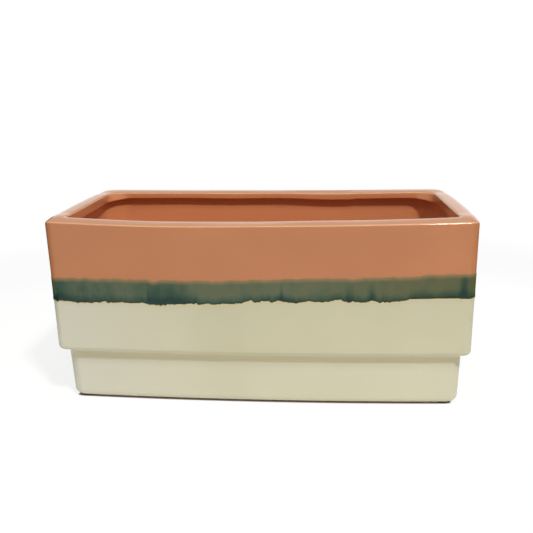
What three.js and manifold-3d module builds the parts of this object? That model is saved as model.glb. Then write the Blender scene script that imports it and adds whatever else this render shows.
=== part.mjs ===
// Rectangular slip-cast planter: a stoneware body with an in-turned rim and a stepped plinth,
// its glaze coats, two drain plugs that lift out, and four foot pads.
// Millimetres, +Z up. The origin is the centre of the plane that the pads stand on,
// +X runs along the planter's length and -Y is its front.
import * as THREE from "three";
import { mergeVertices } from "three/addons/utils/BufferGeometryUtils.js";
import Module from "manifold-3d";

const wasm = await Module();
wasm.setup();

// Outside form, over the glaze
const LENGTH = 305; // at the rim, between the middles of the two ends
const WIDTH = 152; // at the rim, between the middles of the two long sides
const HEIGHT = 137.5; // from the ground to the crown of the rim, at its corners
const CORNER_RADIUS = 5; // upright outside corners at the rim, seen from above
const FOOT_CORNER_RADIUS = 8.5; // and at the foot
const RIM_BOW = 6; // the long sides swell outwards by this much at the rim
const FOOT_BOW = 4; // and by this much at the foot
const END_BOW = 2.5; // the ends swell by this much
const RIM_SAG = 1.6; // the long sides of the rim dip by this much between the corners

// Wall section
const WALL = 6.5; // glaze to glaze
const FLOOR = 8; // thickness of the floor above the hollow of the foot
const WALL_DRAFT = 0.5; // the upper wall leans in by this much from rim to shoulder
const RIM_WALL = 10; // glaze to glaze just under the rim, where the long walls are thicker
const SHOULDER_HEIGHT = 41; // from the ground to the lower edge of the shoulder
const SHOULDER_STEP = 5.2; // overhang of the shoulder over the plinth
const SHOULDER_FALL = 1.4; // its underside slopes down by this much towards the plinth
const SHOULDER_RADIUS = 2.5;
const PLINTH_DRAFT = 1; // the plinth leans in by this much from shoulder to foot
const COVE_RADIUS = 1.6; // where the plinth meets the underside of the shoulder
const FOOT_RADIUS = 2; // round edge at the bottom of the plinth
const FOOT_RING = 15; // width of the ring that the planter stands on
const FOOT_HOLLOW = 2.5; // depth of the underside inside that ring
const LEDGE_FALL = 3; // slope of the ledge that the shoulder makes inside
const INSIDE_CORNER_RADIUS = 12; // upright inside corners, seen from above
const INSIDE_RADIUS = 4; // round edges of the inside, seen in section
const FLOOR_RADIUS = 8; // where the inside wall meets the floor

// In-turned rim
const RIM_WIDTH = 14.5; // from the outside of the rim to its lip, on the long sides
const END_RIM_WIDTH = 12.8; // and at the middle of the ends, where the mouth has straight edges
const RIM_CROWN = 0.6; // the rim's top rises by this much between its two edges
const CROWN_RADIUS = 40;
const RIM_RADIUS = 1.8; // round outside edge
const LIP_HEIGHT = 5.5; // from the rim's top to the underside of its lip, on the long sides
const END_LIP_DROP = 3.5; // the lip reaches this much lower at the ends
const MOUTH_CORNER_RADIUS = 4; // corners of the mouth, seen from above
const LIP_CORNER_RADIUS = 16; // and of the lip's lower edge, which fills the corners with a web
const LIP_RADIUS = 1.5;
const UNDER_RIM_RADIUS = 2; // where the underside of the rim meets the wall

// Glaze
const GLAZE = 0.6; // thickness of a coat
const BOND = 0.3; // clearance between a coat and the body, and between two coats
const BAND_GLAZE = 0.3; // thickness of the band over the seam of the two outer coats
const BAND_BOND = 0.2; // clearance between the band and those coats
const BAND_DROP = 38.2; // from the rim's top to the middle of the band's upper edge
const BAND_HEIGHT = 16.8;
// Waves along the band's edges: how many go round the planter, their size, and where they start
const BAND_UPPER_WAVES = [[2, 2.6, 0.55], [9, 0.6, 0.35], [19, 0.35, 0.7]];
const BAND_LOWER_WAVES = [[2, 2.3, 0.57], [7, 0.6, 0.6], [17, 0.4, 0.3], [37, 0.5, 0.8]];

// Drain plugs
const DRAIN_SPACING = 150; // between the two drain holes
const DRAIN_RADIUS = 7;
const PLUG_CLEARANCE = 0.3; // all round the stem, and under the flange
const PLUG_TAPER = 0.6; // the stem is this much slimmer at its end
const PLUG_FLANGE_RADIUS = 12;
const PLUG_FLANGE = 2.4; // thickness of the flange
const PLUG_GRIP_RADIUS = 4.5;
const PLUG_GRIP_HEIGHT = 6;
const PLUG_CORE_RADIUS = 3.2; // moulded hollow in the stem's end
const PLUG_CORE_DEPTH = 5;
const PLUG_EDGE = 0.7; // chamfers on the plug

// Foot pads
const PAD_RADIUS = 6;
const PAD_THICKNESS = 1.6;
const PAD_MARGIN = 1; // from the pad's edge to the edge of the flat foot
const PAD_EDGE = 0.35; // chamfers on the pad

// Facets
const COARSE = { corner: 5, long: 8, end: 6 }; // segments round the body and its coats
const FINE = { corner: 6, long: 40, end: 20 }; // segments round the band, for its wavy edges
const EDGE_STEPS = 3; // steps in the section's larger round edges
const COVE_STEPS = 2; // and in its smaller and hidden ones
const ROUND_STEPS = 24; // segments round a plug, pad or hole

// Levels and insets that follow from the sizes above
const FOOT_LEVEL = PAD_THICKNESS;
const HOLLOW_LEVEL = FOOT_LEVEL + FOOT_HOLLOW;
const FLOOR_LEVEL = HOLLOW_LEVEL + FLOOR;
const LIP_LEVEL = HEIGHT - LIP_HEIGHT;
const PLINTH_TOP_INSET = WALL_DRAFT + SHOULDER_STEP;
const FOOT_INSET = PLINTH_TOP_INSET + PLINTH_DRAFT;
const BAND_TOP = HEIGHT - BAND_DROP;
const BAND_BOTTOM = BAND_TOP - BAND_HEIGHT;
const SEAM_LEVEL = (BAND_TOP + BAND_BOTTOM) / 2;
const BODY_DEPTH = GLAZE + BOND; // the body's surface lies this deep under the glazed one

// Swelling of the long sides at a height
const longBow = (z) => THREE.MathUtils.lerp(FOOT_BOW, RIM_BOW, z / HEIGHT);

// Inset of the outside of the upper wall at a height, over the glaze
const wallInset = (z) => (WALL_DRAFT * (HEIGHT - z)) / (HEIGHT - SHOULDER_HEIGHT);

// Upright outside corners get rounder towards the foot, and tighter on a surface under the glazed one
function outsideCorner(inset, depth) {
  const towardsFoot = THREE.MathUtils.clamp((inset - depth) / FOOT_INSET, 0, 1);
  return THREE.MathUtils.lerp(CORNER_RADIUS, FOOT_CORNER_RADIUS, towardsFoot) - depth;
}

// Points of the wall's section on a surface that lies a given depth under the glazed one:
// how far a point lies inside the rim's outline on the long sides, its height, and the radius that the
// upright corners have there; then how far inside it lies at the ends, how much the ends swell there,
// and how much lower it lies at the ends than on the long sides
const outside = (depth) => (inset, z) => ({
  inset,
  z,
  corner: outsideCorner(inset, depth),
  endInset: inset,
  endBow: END_BOW,
  endDrop: 0,
});

const inside = (depth, corner, { narrower = 0, endBow = END_BOW, endDrop = 0 } = {}) => (inset, z) => ({
  inset,
  z,
  corner: corner + depth,
  endInset: inset - narrower,
  endBow,
  endDrop,
});

// The rim's top runs from the outside's plan to that of the mouth
function onCrown(inset, z) {
  const across = inset / RIM_WIDTH;
  return {
    inset,
    z,
    corner: THREE.MathUtils.lerp(CORNER_RADIUS, MOUTH_CORNER_RADIUS, across),
    endInset: END_RIM_WIDTH * across,
    endBow: END_BOW * (1 - across),
    endDrop: 0,
  };
}

// Plan of the mouth and of the lip's lower edge at the ends
const mouthEnds = { narrower: RIM_WIDTH - END_RIM_WIDTH, endBow: 0 };
const lipEnds = { ...mouthEnds, endDrop: END_LIP_DROP };

// Steps of a round edge at the corner of the section between two neighbouring corners
function roundEdge(before, at, after, radius, steps, place) {
  const corner = new THREE.Vector2(...at);
  const back = new THREE.Vector2(...before).sub(corner).normalize();
  const ahead = new THREE.Vector2(...after).sub(corner).normalize();
  const half = back.angleTo(ahead) / 2;
  const tangent = radius / Math.tan(half);
  const centre = back.clone().add(ahead).normalize().multiplyScalar(radius / Math.sin(half)).add(corner);
  const from = back.multiplyScalar(tangent).add(corner).sub(centre).angle();
  const to = ahead.multiplyScalar(tangent).add(corner).sub(centre).angle();
  const turn = THREE.MathUtils.euclideanModulo(to - from + Math.PI, 2 * Math.PI) - Math.PI;
  return Array.from({ length: steps + 1 }, (_, i) => {
    const angle = from + (turn * i) / steps;
    return place(centre.x + radius * Math.cos(angle), centre.y + radius * Math.sin(angle));
  });
}

// The section's round edges from the foot, over the rim and down to the floor,
// on a surface that lies a given depth under the glazed one
function section(depth) {
  const footRing = [FOOT_INSET + FOOT_RING, FOOT_LEVEL];
  const foot = [FOOT_INSET + depth, FOOT_LEVEL];
  const cove = [PLINTH_TOP_INSET + depth, SHOULDER_HEIGHT - SHOULDER_FALL + depth];
  const shoulder = [WALL_DRAFT + depth, SHOULDER_HEIGHT + depth];
  const rim = [depth, HEIGHT - RIM_CROWN - depth];
  const crown = [RIM_WIDTH / 2, HEIGHT - depth];
  const lip = [RIM_WIDTH - depth, HEIGHT - RIM_CROWN - depth];
  const lipEdge = [RIM_WIDTH - depth, LIP_LEVEL + depth];
  const underRim = [RIM_WALL - depth, LIP_LEVEL + depth];
  const ledgeLevel = SHOULDER_HEIGHT + WALL - depth;
  const ledgeBack = [WALL_DRAFT + WALL - depth, ledgeLevel + LEDGE_FALL];
  const ledgeEdge = [PLINTH_TOP_INSET + WALL - depth, ledgeLevel];
  const floor = [FOOT_INSET + WALL - depth, FLOOR_LEVEL - depth];
  const floorMiddle = [WIDTH / 2, FLOOR_LEVEL - depth];
  const outer = outside(depth);
  const mouth = inside(depth, MOUTH_CORNER_RADIUS, mouthEnds);
  const web = inside(depth, LIP_CORNER_RADIUS, lipEnds);
  const underWeb = inside(depth, INSIDE_CORNER_RADIUS, { narrower: RIM_WALL - WALL, endDrop: END_LIP_DROP });
  const inner = inside(depth, INSIDE_CORNER_RADIUS);
  return {
    foot: roundEdge(footRing, foot, cove, FOOT_RADIUS - depth, EDGE_STEPS, outer),
    cove: roundEdge(foot, cove, shoulder, COVE_RADIUS + depth, COVE_STEPS, outer),
    shoulder: roundEdge(cove, shoulder, rim, SHOULDER_RADIUS - depth, EDGE_STEPS, outer),
    rim: roundEdge(shoulder, rim, crown, RIM_RADIUS - depth, EDGE_STEPS, outer),
    crown: roundEdge(rim, crown, lip, CROWN_RADIUS, COVE_STEPS, onCrown),
    lip: roundEdge(crown, lip, lipEdge, LIP_RADIUS - depth, EDGE_STEPS, mouth),
    lipEdge: roundEdge(lip, lipEdge, underRim, LIP_RADIUS - depth, COVE_STEPS, web),
    underRim: roundEdge(lipEdge, underRim, ledgeBack, UNDER_RIM_RADIUS + depth, COVE_STEPS, underWeb),
    ledgeBack: roundEdge(underRim, ledgeBack, ledgeEdge, INSIDE_RADIUS + depth, COVE_STEPS, inner),
    ledgeEdge: roundEdge(ledgeBack, ledgeEdge, floor, INSIDE_RADIUS - depth, COVE_STEPS, inner),
    floor: roundEdge(ledgeEdge, floor, floorMiddle, FLOOR_RADIUS + depth, EDGE_STEPS, inner),
  };
}

// Half length and half width between the upright corners, without the swelling of the sides
function halfSizes(inset, z, endInset = inset, endBow = END_BOW) {
  return new THREE.Vector2(LENGTH / 2 - endBow - endInset, WIDTH / 2 - longBow(z) - inset);
}

// One closed ring round the planter, counter-clockwise from above. Its section point is worked out
// for each place, a share from 0 to 1 of the way round, so that an edge can wander up and down.
function planRing(sectionPoint, facets) {
  const places = [];
  const quarters = [[1, 1, facets.long], [-1, 1, facets.end], [-1, -1, facets.long], [1, -1, facets.end]];
  quarters.forEach(([sideX, sideY, alongNext], quarter) => {
    for (let i = 0; i <= facets.corner; i++) places.push({ sideX, sideY, turn: quarter + i / facets.corner });
    const [nextX, nextY] = quarters[(quarter + 1) % quarters.length];
    for (let i = 1; i < alongNext; i++) {
      places.push({ sideX, sideY, nextX, nextY, turn: quarter + 1, along: i / alongNext });
    }
  });
  return places.map((place, i) => ringPoint(place, sectionPoint(i / places.length)));
}

// A place on a ring: on an upright corner, or on the straight run from one corner to the next.
// The long sides and ends then swell outwards, the long sides of the rim sag, and the lip drops at the ends.
function ringPoint(place, { inset, z, corner, endInset, endBow, endDrop }) {
  const half = halfSizes(inset, z, endInset, endBow);
  const angle = (place.turn * Math.PI) / 2;
  const onCorner = (sideX, sideY) =>
    new THREE.Vector2(sideX * (half.x - corner), sideY * (half.y - corner)).add(
      new THREE.Vector2(Math.cos(angle), Math.sin(angle)).multiplyScalar(corner),
    );
  const point = onCorner(place.sideX, place.sideY);
  if (place.along) point.lerp(onCorner(place.nextX, place.nextY), place.along);
  const middleX = Math.max(0, 1 - (point.x / half.x) ** 2); // 1 half way along a long side
  const middleY = Math.max(0, 1 - (point.y / half.y) ** 2); // 1 half way along an end
  const rise = THREE.MathUtils.clamp((z - SHOULDER_HEIGHT) / (HEIGHT - SHOULDER_HEIGHT), 0, 1);
  return new THREE.Vector3(
    point.x + Math.sign(point.x) * endBow * middleY,
    point.y + Math.sign(point.y) * longBow(z) * middleX,
    z - RIM_SAG * rise ** 2 * middleX - endDrop * Math.abs(Math.cos(angle)),
  );
}

// A solid skinned over rings. It is closed by its own loop, or capped at both ends.
function loft(rings, isLoop) {
  const count = rings[0].length;
  const points = rings.flat();
  const triangles = [];
  const last = isLoop ? rings.length : rings.length - 1;
  for (let k = 0; k < last; k++) {
    const low = k * count;
    const high = ((k + 1) % rings.length) * count;
    for (let i = 0; i < count; i++) {
      const j = (i + 1) % count;
      triangles.push(low + i, low + j, high + j, low + i, high + j, high + i);
    }
  }
  if (!isLoop) {
    const top = (rings.length - 1) * count;
    const [bottomHub, topHub] = [points.length, points.length + 1];
    points.push(new THREE.Vector3(0, 0, rings[0][0].z), new THREE.Vector3(0, 0, points[top].z));
    for (let i = 0; i < count; i++) {
      const j = (i + 1) % count;
      triangles.push(bottomHub, j, i, topHub, top + i, top + j);
    }
  }
  const geometry = new THREE.BufferGeometry().setFromPoints(points).setIndex(triangles);
  geometry.computeVertexNormals();
  return geometry;
}

const ringsOf = (path, facets) => path.map((point) => planRing(() => point, facets));

// A coat between two section paths: the surface that shows, and the one against the body
const coat = (shown, hidden) => loft(ringsOf([...shown, ...hidden.toReversed()], COARSE), true);

// Booleans
function solidOf(geometry) {
  const bare = geometry.clone();
  bare.deleteAttribute("normal");
  bare.deleteAttribute("uv");
  const merged = mergeVertices(bare);
  const vertProperties = new Float32Array(merged.attributes.position.array);
  const triVerts = new Uint32Array(merged.index.array);
  return new wasm.Manifold(new wasm.Mesh({ numProp: 3, vertProperties, triVerts }));
}

function geometryOf(solid) {
  const mesh = solid.getMesh();
  const geometry = new THREE.BufferGeometry();
  geometry.setAttribute("position", new THREE.BufferAttribute(mesh.vertProperties, 3));
  geometry.setIndex(new THREE.BufferAttribute(mesh.triVerts, 1));
  geometry.computeVertexNormals();
  return geometry;
}

const drainPlaces = { left: -DRAIN_SPACING / 2, right: DRAIN_SPACING / 2 };

function withDrainHoles(geometry) {
  let solid = solidOf(geometry);
  for (const x of Object.values(drainPlaces)) {
    const drill = new THREE.CylinderGeometry(DRAIN_RADIUS, DRAIN_RADIUS, 2 * HEIGHT, ROUND_STEPS);
    solid = solid.subtract(solidOf(drill.rotateX(Math.PI / 2).translate(x, 0, 0)));
  }
  return geometryOf(solid);
}

// The stoneware body: hollow foot, plinth, shoulder, upper wall and in-turned rim
function stonewareBody() {
  const s = section(BODY_DEPTH);
  const ringInset = FOOT_INSET + FOOT_RING;
  const underside = outside(0);
  const path = [underside(ringInset, HOLLOW_LEVEL), underside(ringInset, FOOT_LEVEL)];
  path.push(...s.foot, ...s.cove, ...s.shoulder, ...s.rim, ...s.crown, ...s.lip, ...s.lipEdge);
  path.push(...s.underRim, ...s.ledgeBack, ...s.ledgeEdge, ...s.floor);
  return withDrainHoles(loft(ringsOf(path, COARSE), false));
}

// The lower coat: from just above the bare foot, over the plinth and shoulder to the seam
function creamCoat() {
  const path = (depth) => {
    const s = section(depth);
    const seam = SEAM_LEVEL - BOND / 2;
    return [...s.foot.slice(1), ...s.cove, ...s.shoulder, outside(depth)(wallInset(seam) + depth, seam)];
  };
  return coat(path(0), path(GLAZE));
}

// The upper coat: from the seam over the rim and round its lip
function rimCoat() {
  const path = (depth) => {
    const s = section(depth);
    const seam = SEAM_LEVEL + BOND / 2;
    const start = outside(depth)(wallInset(seam) + depth, seam);
    return [start, ...s.rim, ...s.crown, ...s.lip, ...s.lipEdge];
  };
  return coat(path(0), path(GLAZE));
}

// The inside coat: from the underside of the rim down over the ledge to the floor
function insideCoat() {
  const path = (depth) => {
    const s = section(depth);
    const underLip = inside(depth, LIP_CORNER_RADIUS, lipEnds);
    const start = underLip(RIM_WIDTH - LIP_RADIUS - BOND, LIP_LEVEL + depth);
    return [start, ...s.underRim, ...s.ledgeBack, ...s.ledgeEdge, ...s.floor];
  };
  return withDrainHoles(loft(ringsOf([...path(GLAZE).toReversed(), ...path(0)], COARSE), false));
}

// The band that hides the seam: its edges wander as a brushed, running glaze does
function glazeBand() {
  const wave = (share, [count, size, start]) => size * Math.sin(2 * Math.PI * (count * share + start));
  const wander = (level, waves) => (share) => waves.reduce((z, each) => z + wave(share, each), level);
  const upper = wander(BAND_TOP, BAND_UPPER_WAVES);
  const lower = wander(BAND_BOTTOM, BAND_LOWER_WAVES);
  const place = (level, proud) => outside(-proud)(wallInset(level) - proud, level);
  const ring = (edge, proud) => planRing((share) => place(edge(share), proud), FINE);
  const face = BAND_BOND + BAND_GLAZE;
  return loft([ring(lower, face), ring(upper, face), ring(upper, BAND_BOND), ring(lower, BAND_BOND)], true);
}

// A turned piece from its profile of radius and height
function turned(profile) {
  const points = profile.map(([radius, z]) => new THREE.Vector2(radius, z));
  return new THREE.LatheGeometry(points, ROUND_STEPS).rotateX(Math.PI / 2);
}

// A moulded stopper: hollow tapered stem, flange on the floor, and a grip to lift it by
function drainPlug() {
  const seat = FLOOR_LEVEL + PLUG_CLEARANCE;
  const end = HOLLOW_LEVEL;
  const stem = DRAIN_RADIUS - PLUG_CLEARANCE;
  const top = seat + PLUG_FLANGE;
  const crown = top + PLUG_GRIP_HEIGHT;
  return turned([
    [0, end + PLUG_CORE_DEPTH],
    [PLUG_CORE_RADIUS, end + PLUG_CORE_DEPTH],
    [PLUG_CORE_RADIUS, end],
    [stem - PLUG_TAPER - PLUG_EDGE, end],
    [stem - PLUG_TAPER, end + PLUG_EDGE],
    [stem, seat],
    [PLUG_FLANGE_RADIUS - PLUG_EDGE, seat],
    [PLUG_FLANGE_RADIUS, seat + PLUG_EDGE],
    [PLUG_FLANGE_RADIUS - PLUG_EDGE, top],
    [PLUG_GRIP_RADIUS - PLUG_EDGE, top],
    [PLUG_GRIP_RADIUS, crown - 2 * PLUG_EDGE],
    [PLUG_GRIP_RADIUS - PLUG_EDGE, crown],
    [0, crown],
  ]);
}

// A round self-adhesive pad under the foot ring
function footPad() {
  return turned([
    [0, 0],
    [PAD_RADIUS - PAD_EDGE, 0],
    [PAD_RADIUS, PAD_EDGE],
    [PAD_RADIUS, PAD_THICKNESS - PAD_EDGE],
    [PAD_RADIUS - PAD_EDGE, PAD_THICKNESS],
    [0, PAD_THICKNESS],
  ]);
}

// Finishes
const finish = (color, roughness) => new THREE.MeshStandardMaterial({ color, roughness, metalness: 0 });
const bareStoneware = finish("#b98c68", 0.9);
const terracottaGlaze = finish("#c4805a", 0.22);
const creamGlaze = finish("#d3cbaa", 0.5);
const tealGlaze = finish("#4f6658", 0.3);
const plugRubber = finish("#8a8680", 0.65);
const padFelt = finish("#3a2e26", 0.95);

// Assembly
const planter = new THREE.Group();

function add(parent, name, geometry, material) {
  const mesh = new THREE.Mesh(geometry, material);
  mesh.name = name;
  parent.add(mesh);
  return mesh;
}

const pot = new THREE.Group();
planter.add(pot);
add(pot, "stoneware_body", stonewareBody(), bareStoneware);
add(pot, "rim_glaze_coat", rimCoat(), terracottaGlaze);
add(pot, "inside_glaze_coat", insideCoat(), terracottaGlaze);
add(pot, "cream_glaze_coat", creamCoat(), creamGlaze);
add(pot, "teal_glaze_band", glazeBand(), tealGlaze);

for (const [side, x] of Object.entries(drainPlaces)) {
  add(planter, `drain_plug_${side}`, drainPlug(), plugRubber).position.x = x;
}

const padPlace = halfSizes(FOOT_INSET, FOOT_LEVEL).subScalar(FOOT_RADIUS + PAD_MARGIN + PAD_RADIUS);
for (const [end, sideY] of [["front", -1], ["back", 1]]) {
  for (const [side, sideX] of [["left", -1], ["right", 1]]) {
    const pad = add(planter, `foot_pad_${end}_${side}`, footPad(), padFelt);
    pad.position.set(sideX * padPlace.x, sideY * padPlace.y, 0);
  }
}

export default planter;
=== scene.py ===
# %% [markdown]
# # A rectangular glazed planter
#
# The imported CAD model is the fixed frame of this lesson: eleven solids at their real size, in metres.
# Those solids are plain and faceted, so each of them is modelled again here in the same place, with
# round edges, the slight unevenness of cast clay and a finish of its own. Nothing in the frame moves.

# %% Load the frame and keep its box
import bisect
import math
import random
from collections import namedtuple

import bmesh
import bpy
from mathutils import Matrix, Vector, noise


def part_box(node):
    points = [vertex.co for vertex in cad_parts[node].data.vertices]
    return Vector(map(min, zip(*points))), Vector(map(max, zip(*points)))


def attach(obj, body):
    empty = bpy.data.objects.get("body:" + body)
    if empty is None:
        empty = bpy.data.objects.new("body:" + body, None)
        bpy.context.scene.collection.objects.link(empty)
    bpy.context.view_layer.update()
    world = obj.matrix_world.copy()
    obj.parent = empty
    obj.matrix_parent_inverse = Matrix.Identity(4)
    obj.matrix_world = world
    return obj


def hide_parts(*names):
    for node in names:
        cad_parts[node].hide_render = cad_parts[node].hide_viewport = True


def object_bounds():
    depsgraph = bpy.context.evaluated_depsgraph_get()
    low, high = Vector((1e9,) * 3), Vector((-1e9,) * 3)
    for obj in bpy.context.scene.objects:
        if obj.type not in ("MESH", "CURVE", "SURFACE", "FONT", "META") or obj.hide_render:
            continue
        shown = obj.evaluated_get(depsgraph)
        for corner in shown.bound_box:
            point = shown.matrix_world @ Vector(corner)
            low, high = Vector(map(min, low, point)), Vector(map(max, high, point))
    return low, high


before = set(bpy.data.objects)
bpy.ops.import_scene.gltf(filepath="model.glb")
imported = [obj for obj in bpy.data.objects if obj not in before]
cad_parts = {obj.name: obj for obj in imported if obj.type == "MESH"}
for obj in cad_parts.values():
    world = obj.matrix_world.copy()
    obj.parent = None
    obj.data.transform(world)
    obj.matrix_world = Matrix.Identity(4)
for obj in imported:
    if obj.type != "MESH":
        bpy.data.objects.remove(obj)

MM = 0.001


def in_mm(length, digits=1):
    """A length in millimetres, rounded for printing."""
    return round(length / MM, digits)


cad_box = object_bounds()
print("CAD box in mm:", [[in_mm(value) for value in corner] for corner in cad_box])

# %% [markdown]
# ## Camera
#
# The camera repeats the photograph's view: a little above the rim, a little to the right of the middle
# and almost square to the front. A focal length counted in pixels of the picture becomes a lens in
# millimetres once it is set against the sensor's width.

# %% Camera at the photograph's angle
PHOTO_SIDE = 533
FOCAL_PIXELS = 650
SENSOR_WIDTH = 36
CAMERA_PLACE = Vector((40.75, -503.2, 226.6)) * MM
CAMERA_TURN = math.radians(4.519)
CAMERA_DROP = math.radians(15.59)
CAMERA_ROLL = math.radians(-0.826)
NEAREST = 10 * MM

camera_lens = bpy.data.cameras.new("photo_camera")
camera_lens.sensor_width = SENSOR_WIDTH
camera_lens.lens = SENSOR_WIDTH * FOCAL_PIXELS / PHOTO_SIDE
camera_lens.clip_start = NEAREST
camera = bpy.data.objects.new("photo_camera", camera_lens)
camera.matrix_world = (
    Matrix.Translation(CAMERA_PLACE)
    @ Matrix.Rotation(CAMERA_TURN, 4, "Z")
    @ Matrix.Rotation(math.pi / 2 - CAMERA_DROP, 4, "X")
    @ Matrix.Rotation(CAMERA_ROLL, 4, "Z")
)
bpy.context.scene.collection.objects.link(camera)
bpy.context.scene.camera = camera
print(f"camera lens {camera_lens.lens:.1f} mm")

# %% [markdown]
# ## Nodes and colours
#
# A material is a graph of nodes. Building one by hand in code repeats the same three moves: add a node,
# choose its settings, and set or link its inputs. One function does all three. Colours are written as
# the sRGB hex values that a painter's tool would show, and a second function turns them to the linear
# numbers that the renderer works in.

# %% Helpers for nodes, colours and limits
# Numbers of the Mix node's two colour inputs and of its colour output
MIX_A = 6
MIX_B = 7
MIX_COLOUR = 2


def add_node(tree, kind, inputs=None, **settings):
    """Adds a node. An input takes a value, or the output socket of another node as a link."""
    made = tree.nodes.new(kind)
    for name, value in settings.items():
        setattr(made, name, value)
    for socket, value in (inputs or {}).items():
        if isinstance(value, bpy.types.NodeSocket):
            tree.links.new(value, made.inputs[socket])
        else:
            made.inputs[socket].default_value = value
    return made


def linear(hex_colour):
    """An sRGB hex colour as linear red, green, blue and alpha."""
    channels = [int(hex_colour[i : i + 2], 16) / 255 for i in (1, 3, 5)]
    return [c / 12.92 if c <= 0.04045 else ((c + 0.055) / 1.055) ** 2.4 for c in channels] + [1.0]


def clamp(value, low=0.0, high=1.0):
    """A value kept between two limits."""
    return max(low, min(high, value))


print("mid grey #808080 is", round(linear("#808080")[0], 3), "in linear light")

# %% [markdown]
# ## Studio
#
# A plain white sweep with soft light from all round shows colours about as they are written. The world
# gives that soft light. A small softbox above the front, off to the right, models the form: it shades the
# wall under the lip and the plinth under the shoulder. A long strip light high in front softens those
# shadows, and a soft lamp overhead lights the top of the rim. The background is white only to the camera and
# in reflections, through Light Path, so it puts no extra light on the object. Two dark cards beside the
# object show only in its reflections, where they draw its round corners darker.

# %% World
SKY_LIGHT = 0.27
# The paper behind the object is white up to just above the picture, and the room over it is grey
SWEEP_END = (math.sin(math.radians(8)), math.sin(math.radians(19)))
ROOM_GREY = 0.3
WHITE = linear("#FFFFFF")


def seen_directly(tree):
    """1 for rays from the camera, mirror-like reflections and glass, 0 for light that falls on things."""
    path = add_node(tree, "ShaderNodeLightPath")
    direct = add_node(
        tree,
        "ShaderNodeMath",
        {0: path.outputs["Is Camera Ray"], 1: path.outputs["Is Glossy Ray"]},
        operation="MAXIMUM",
    )
    both = {0: direct.outputs[0], 1: path.outputs["Is Transmission Ray"]}
    return add_node(tree, "ShaderNodeMath", both, operation="MAXIMUM").outputs[0]


world = bpy.data.worlds.new("studio")
world.use_nodes = True
bpy.context.scene.world = world
sky = world.node_tree
sky.nodes.clear()
fill = add_node(sky, "ShaderNodeBackground", {"Color": WHITE, "Strength": SKY_LIGHT})
towards = add_node(sky, "ShaderNodeTexCoord").outputs["Generated"]
height = add_node(sky, "ShaderNodeSeparateXYZ", {0: towards}).outputs["Z"]
sweep_end = {
    "Value": height,
    "From Min": SWEEP_END[0],
    "From Max": SWEEP_END[1],
    "To Min": 1.0,
    "To Max": ROOM_GREY,
}
sweep_white = add_node(sky, "ShaderNodeMapRange", sweep_end, interpolation_type="SMOOTHSTEP").outputs[0]
backdrop = add_node(sky, "ShaderNodeBackground", {"Color": WHITE, "Strength": sweep_white})
sky_look = {0: seen_directly(sky), 1: fill.outputs[0], 2: backdrop.outputs[0]}
sky_mix = add_node(sky, "ShaderNodeMixShader", sky_look)
add_node(sky, "ShaderNodeOutputWorld", {"Surface": sky_mix.outputs[0]})
bpy.context.scene.view_settings.view_transform = "Standard"
print("soft light from all round:", SKY_LIGHT)

# %% Lamps
LAMP_DISTANCE = 2.5
aim = (cad_box[0] + cad_box[1]) / 2


def hang_lamp(name, turn, height, width, depth, power):
    """A rectangular lamp that faces the object, at an angle to the right of the front and a height angle."""
    turn, height = math.radians(turn), math.radians(height)
    level = math.cos(height)
    towards = Vector((math.sin(turn) * level, -math.cos(turn) * level, math.sin(height)))
    light = bpy.data.lights.new(name, "AREA")
    light.shape = "RECTANGLE"
    light.size = width
    light.size_y = depth
    light.energy = power
    lamp = bpy.data.objects.new(name, light)
    lamp.location = aim + towards * LAMP_DISTANCE
    lamp.rotation_euler = towards.to_track_quat("Z", "Y").to_euler()
    bpy.context.scene.collection.objects.link(lamp)
    print(name, "hangs at", [round(value, 2) for value in lamp.location])


hang_lamp("softbox", turn=33, height=54, width=0.22, depth=0.22, power=45.5)
hang_lamp("strip_light", turn=0, height=66, width=2.4, depth=0.22, power=19.0)
hang_lamp("overhead", turn=0, height=86, width=1.2, depth=1.2, power=8.0)

# %% Paper of the floor
SHEET_END = (0.3, 0.6)
SHEET_TONE = "#F3F3F1"
TABLE_TONE = "#8C8C8A"
SEEN_WHITE = (0.8, 1.0)

floor_material = bpy.data.materials.new("white_paper_sweep")
floor_material.use_nodes = True
paper = floor_material.node_tree
paper.nodes.clear()
# A sheet of matt white paper on a grey table: the sheet takes the object's shadow, and the table round it is
# plain white to the eye
paper_place = add_node(paper, "ShaderNodeTexCoord").outputs["Object"]
away = add_node(paper, "ShaderNodeVectorMath", {0: paper_place}, operation="LENGTH").outputs["Value"]
past_sheet = {"Value": away, "From Min": SHEET_END[0], "From Max": SHEET_END[1]}
on_table = add_node(paper, "ShaderNodeMapRange", past_sheet, interpolation_type="SMOOTHSTEP").outputs[0]
sheet_colours = {0: on_table, MIX_A: linear(SHEET_TONE), MIX_B: linear(TABLE_TONE)}
sheet = add_node(paper, "ShaderNodeMix", sheet_colours, data_type="RGBA").outputs[MIX_COLOUR]
matte = add_node(paper, "ShaderNodeBsdfDiffuse", {"Color": sheet})
glow = add_node(paper, "ShaderNodeEmission", {"Color": WHITE, "Strength": 1.0})
whiter = {"Value": on_table, "To Min": SEEN_WHITE[0], "To Max": SEEN_WHITE[1]}
white_share = add_node(paper, "ShaderNodeMapRange", whiter).outputs[0]
shown_share = {0: seen_directly(paper), 1: white_share}
shown = add_node(paper, "ShaderNodeMath", shown_share, operation="MULTIPLY").outputs[0]
print("the sheet ends between", SHEET_END[0], "and", SHEET_END[1], "m from the middle")

# %% Shade under the foot
FOOT_HALF = (143.5 * MM, 65.3 * MM)
FOOT_SWELL = 4 * MM
FOOT_SHADE = (-3.6 * MM, -2.4 * MM)

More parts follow.
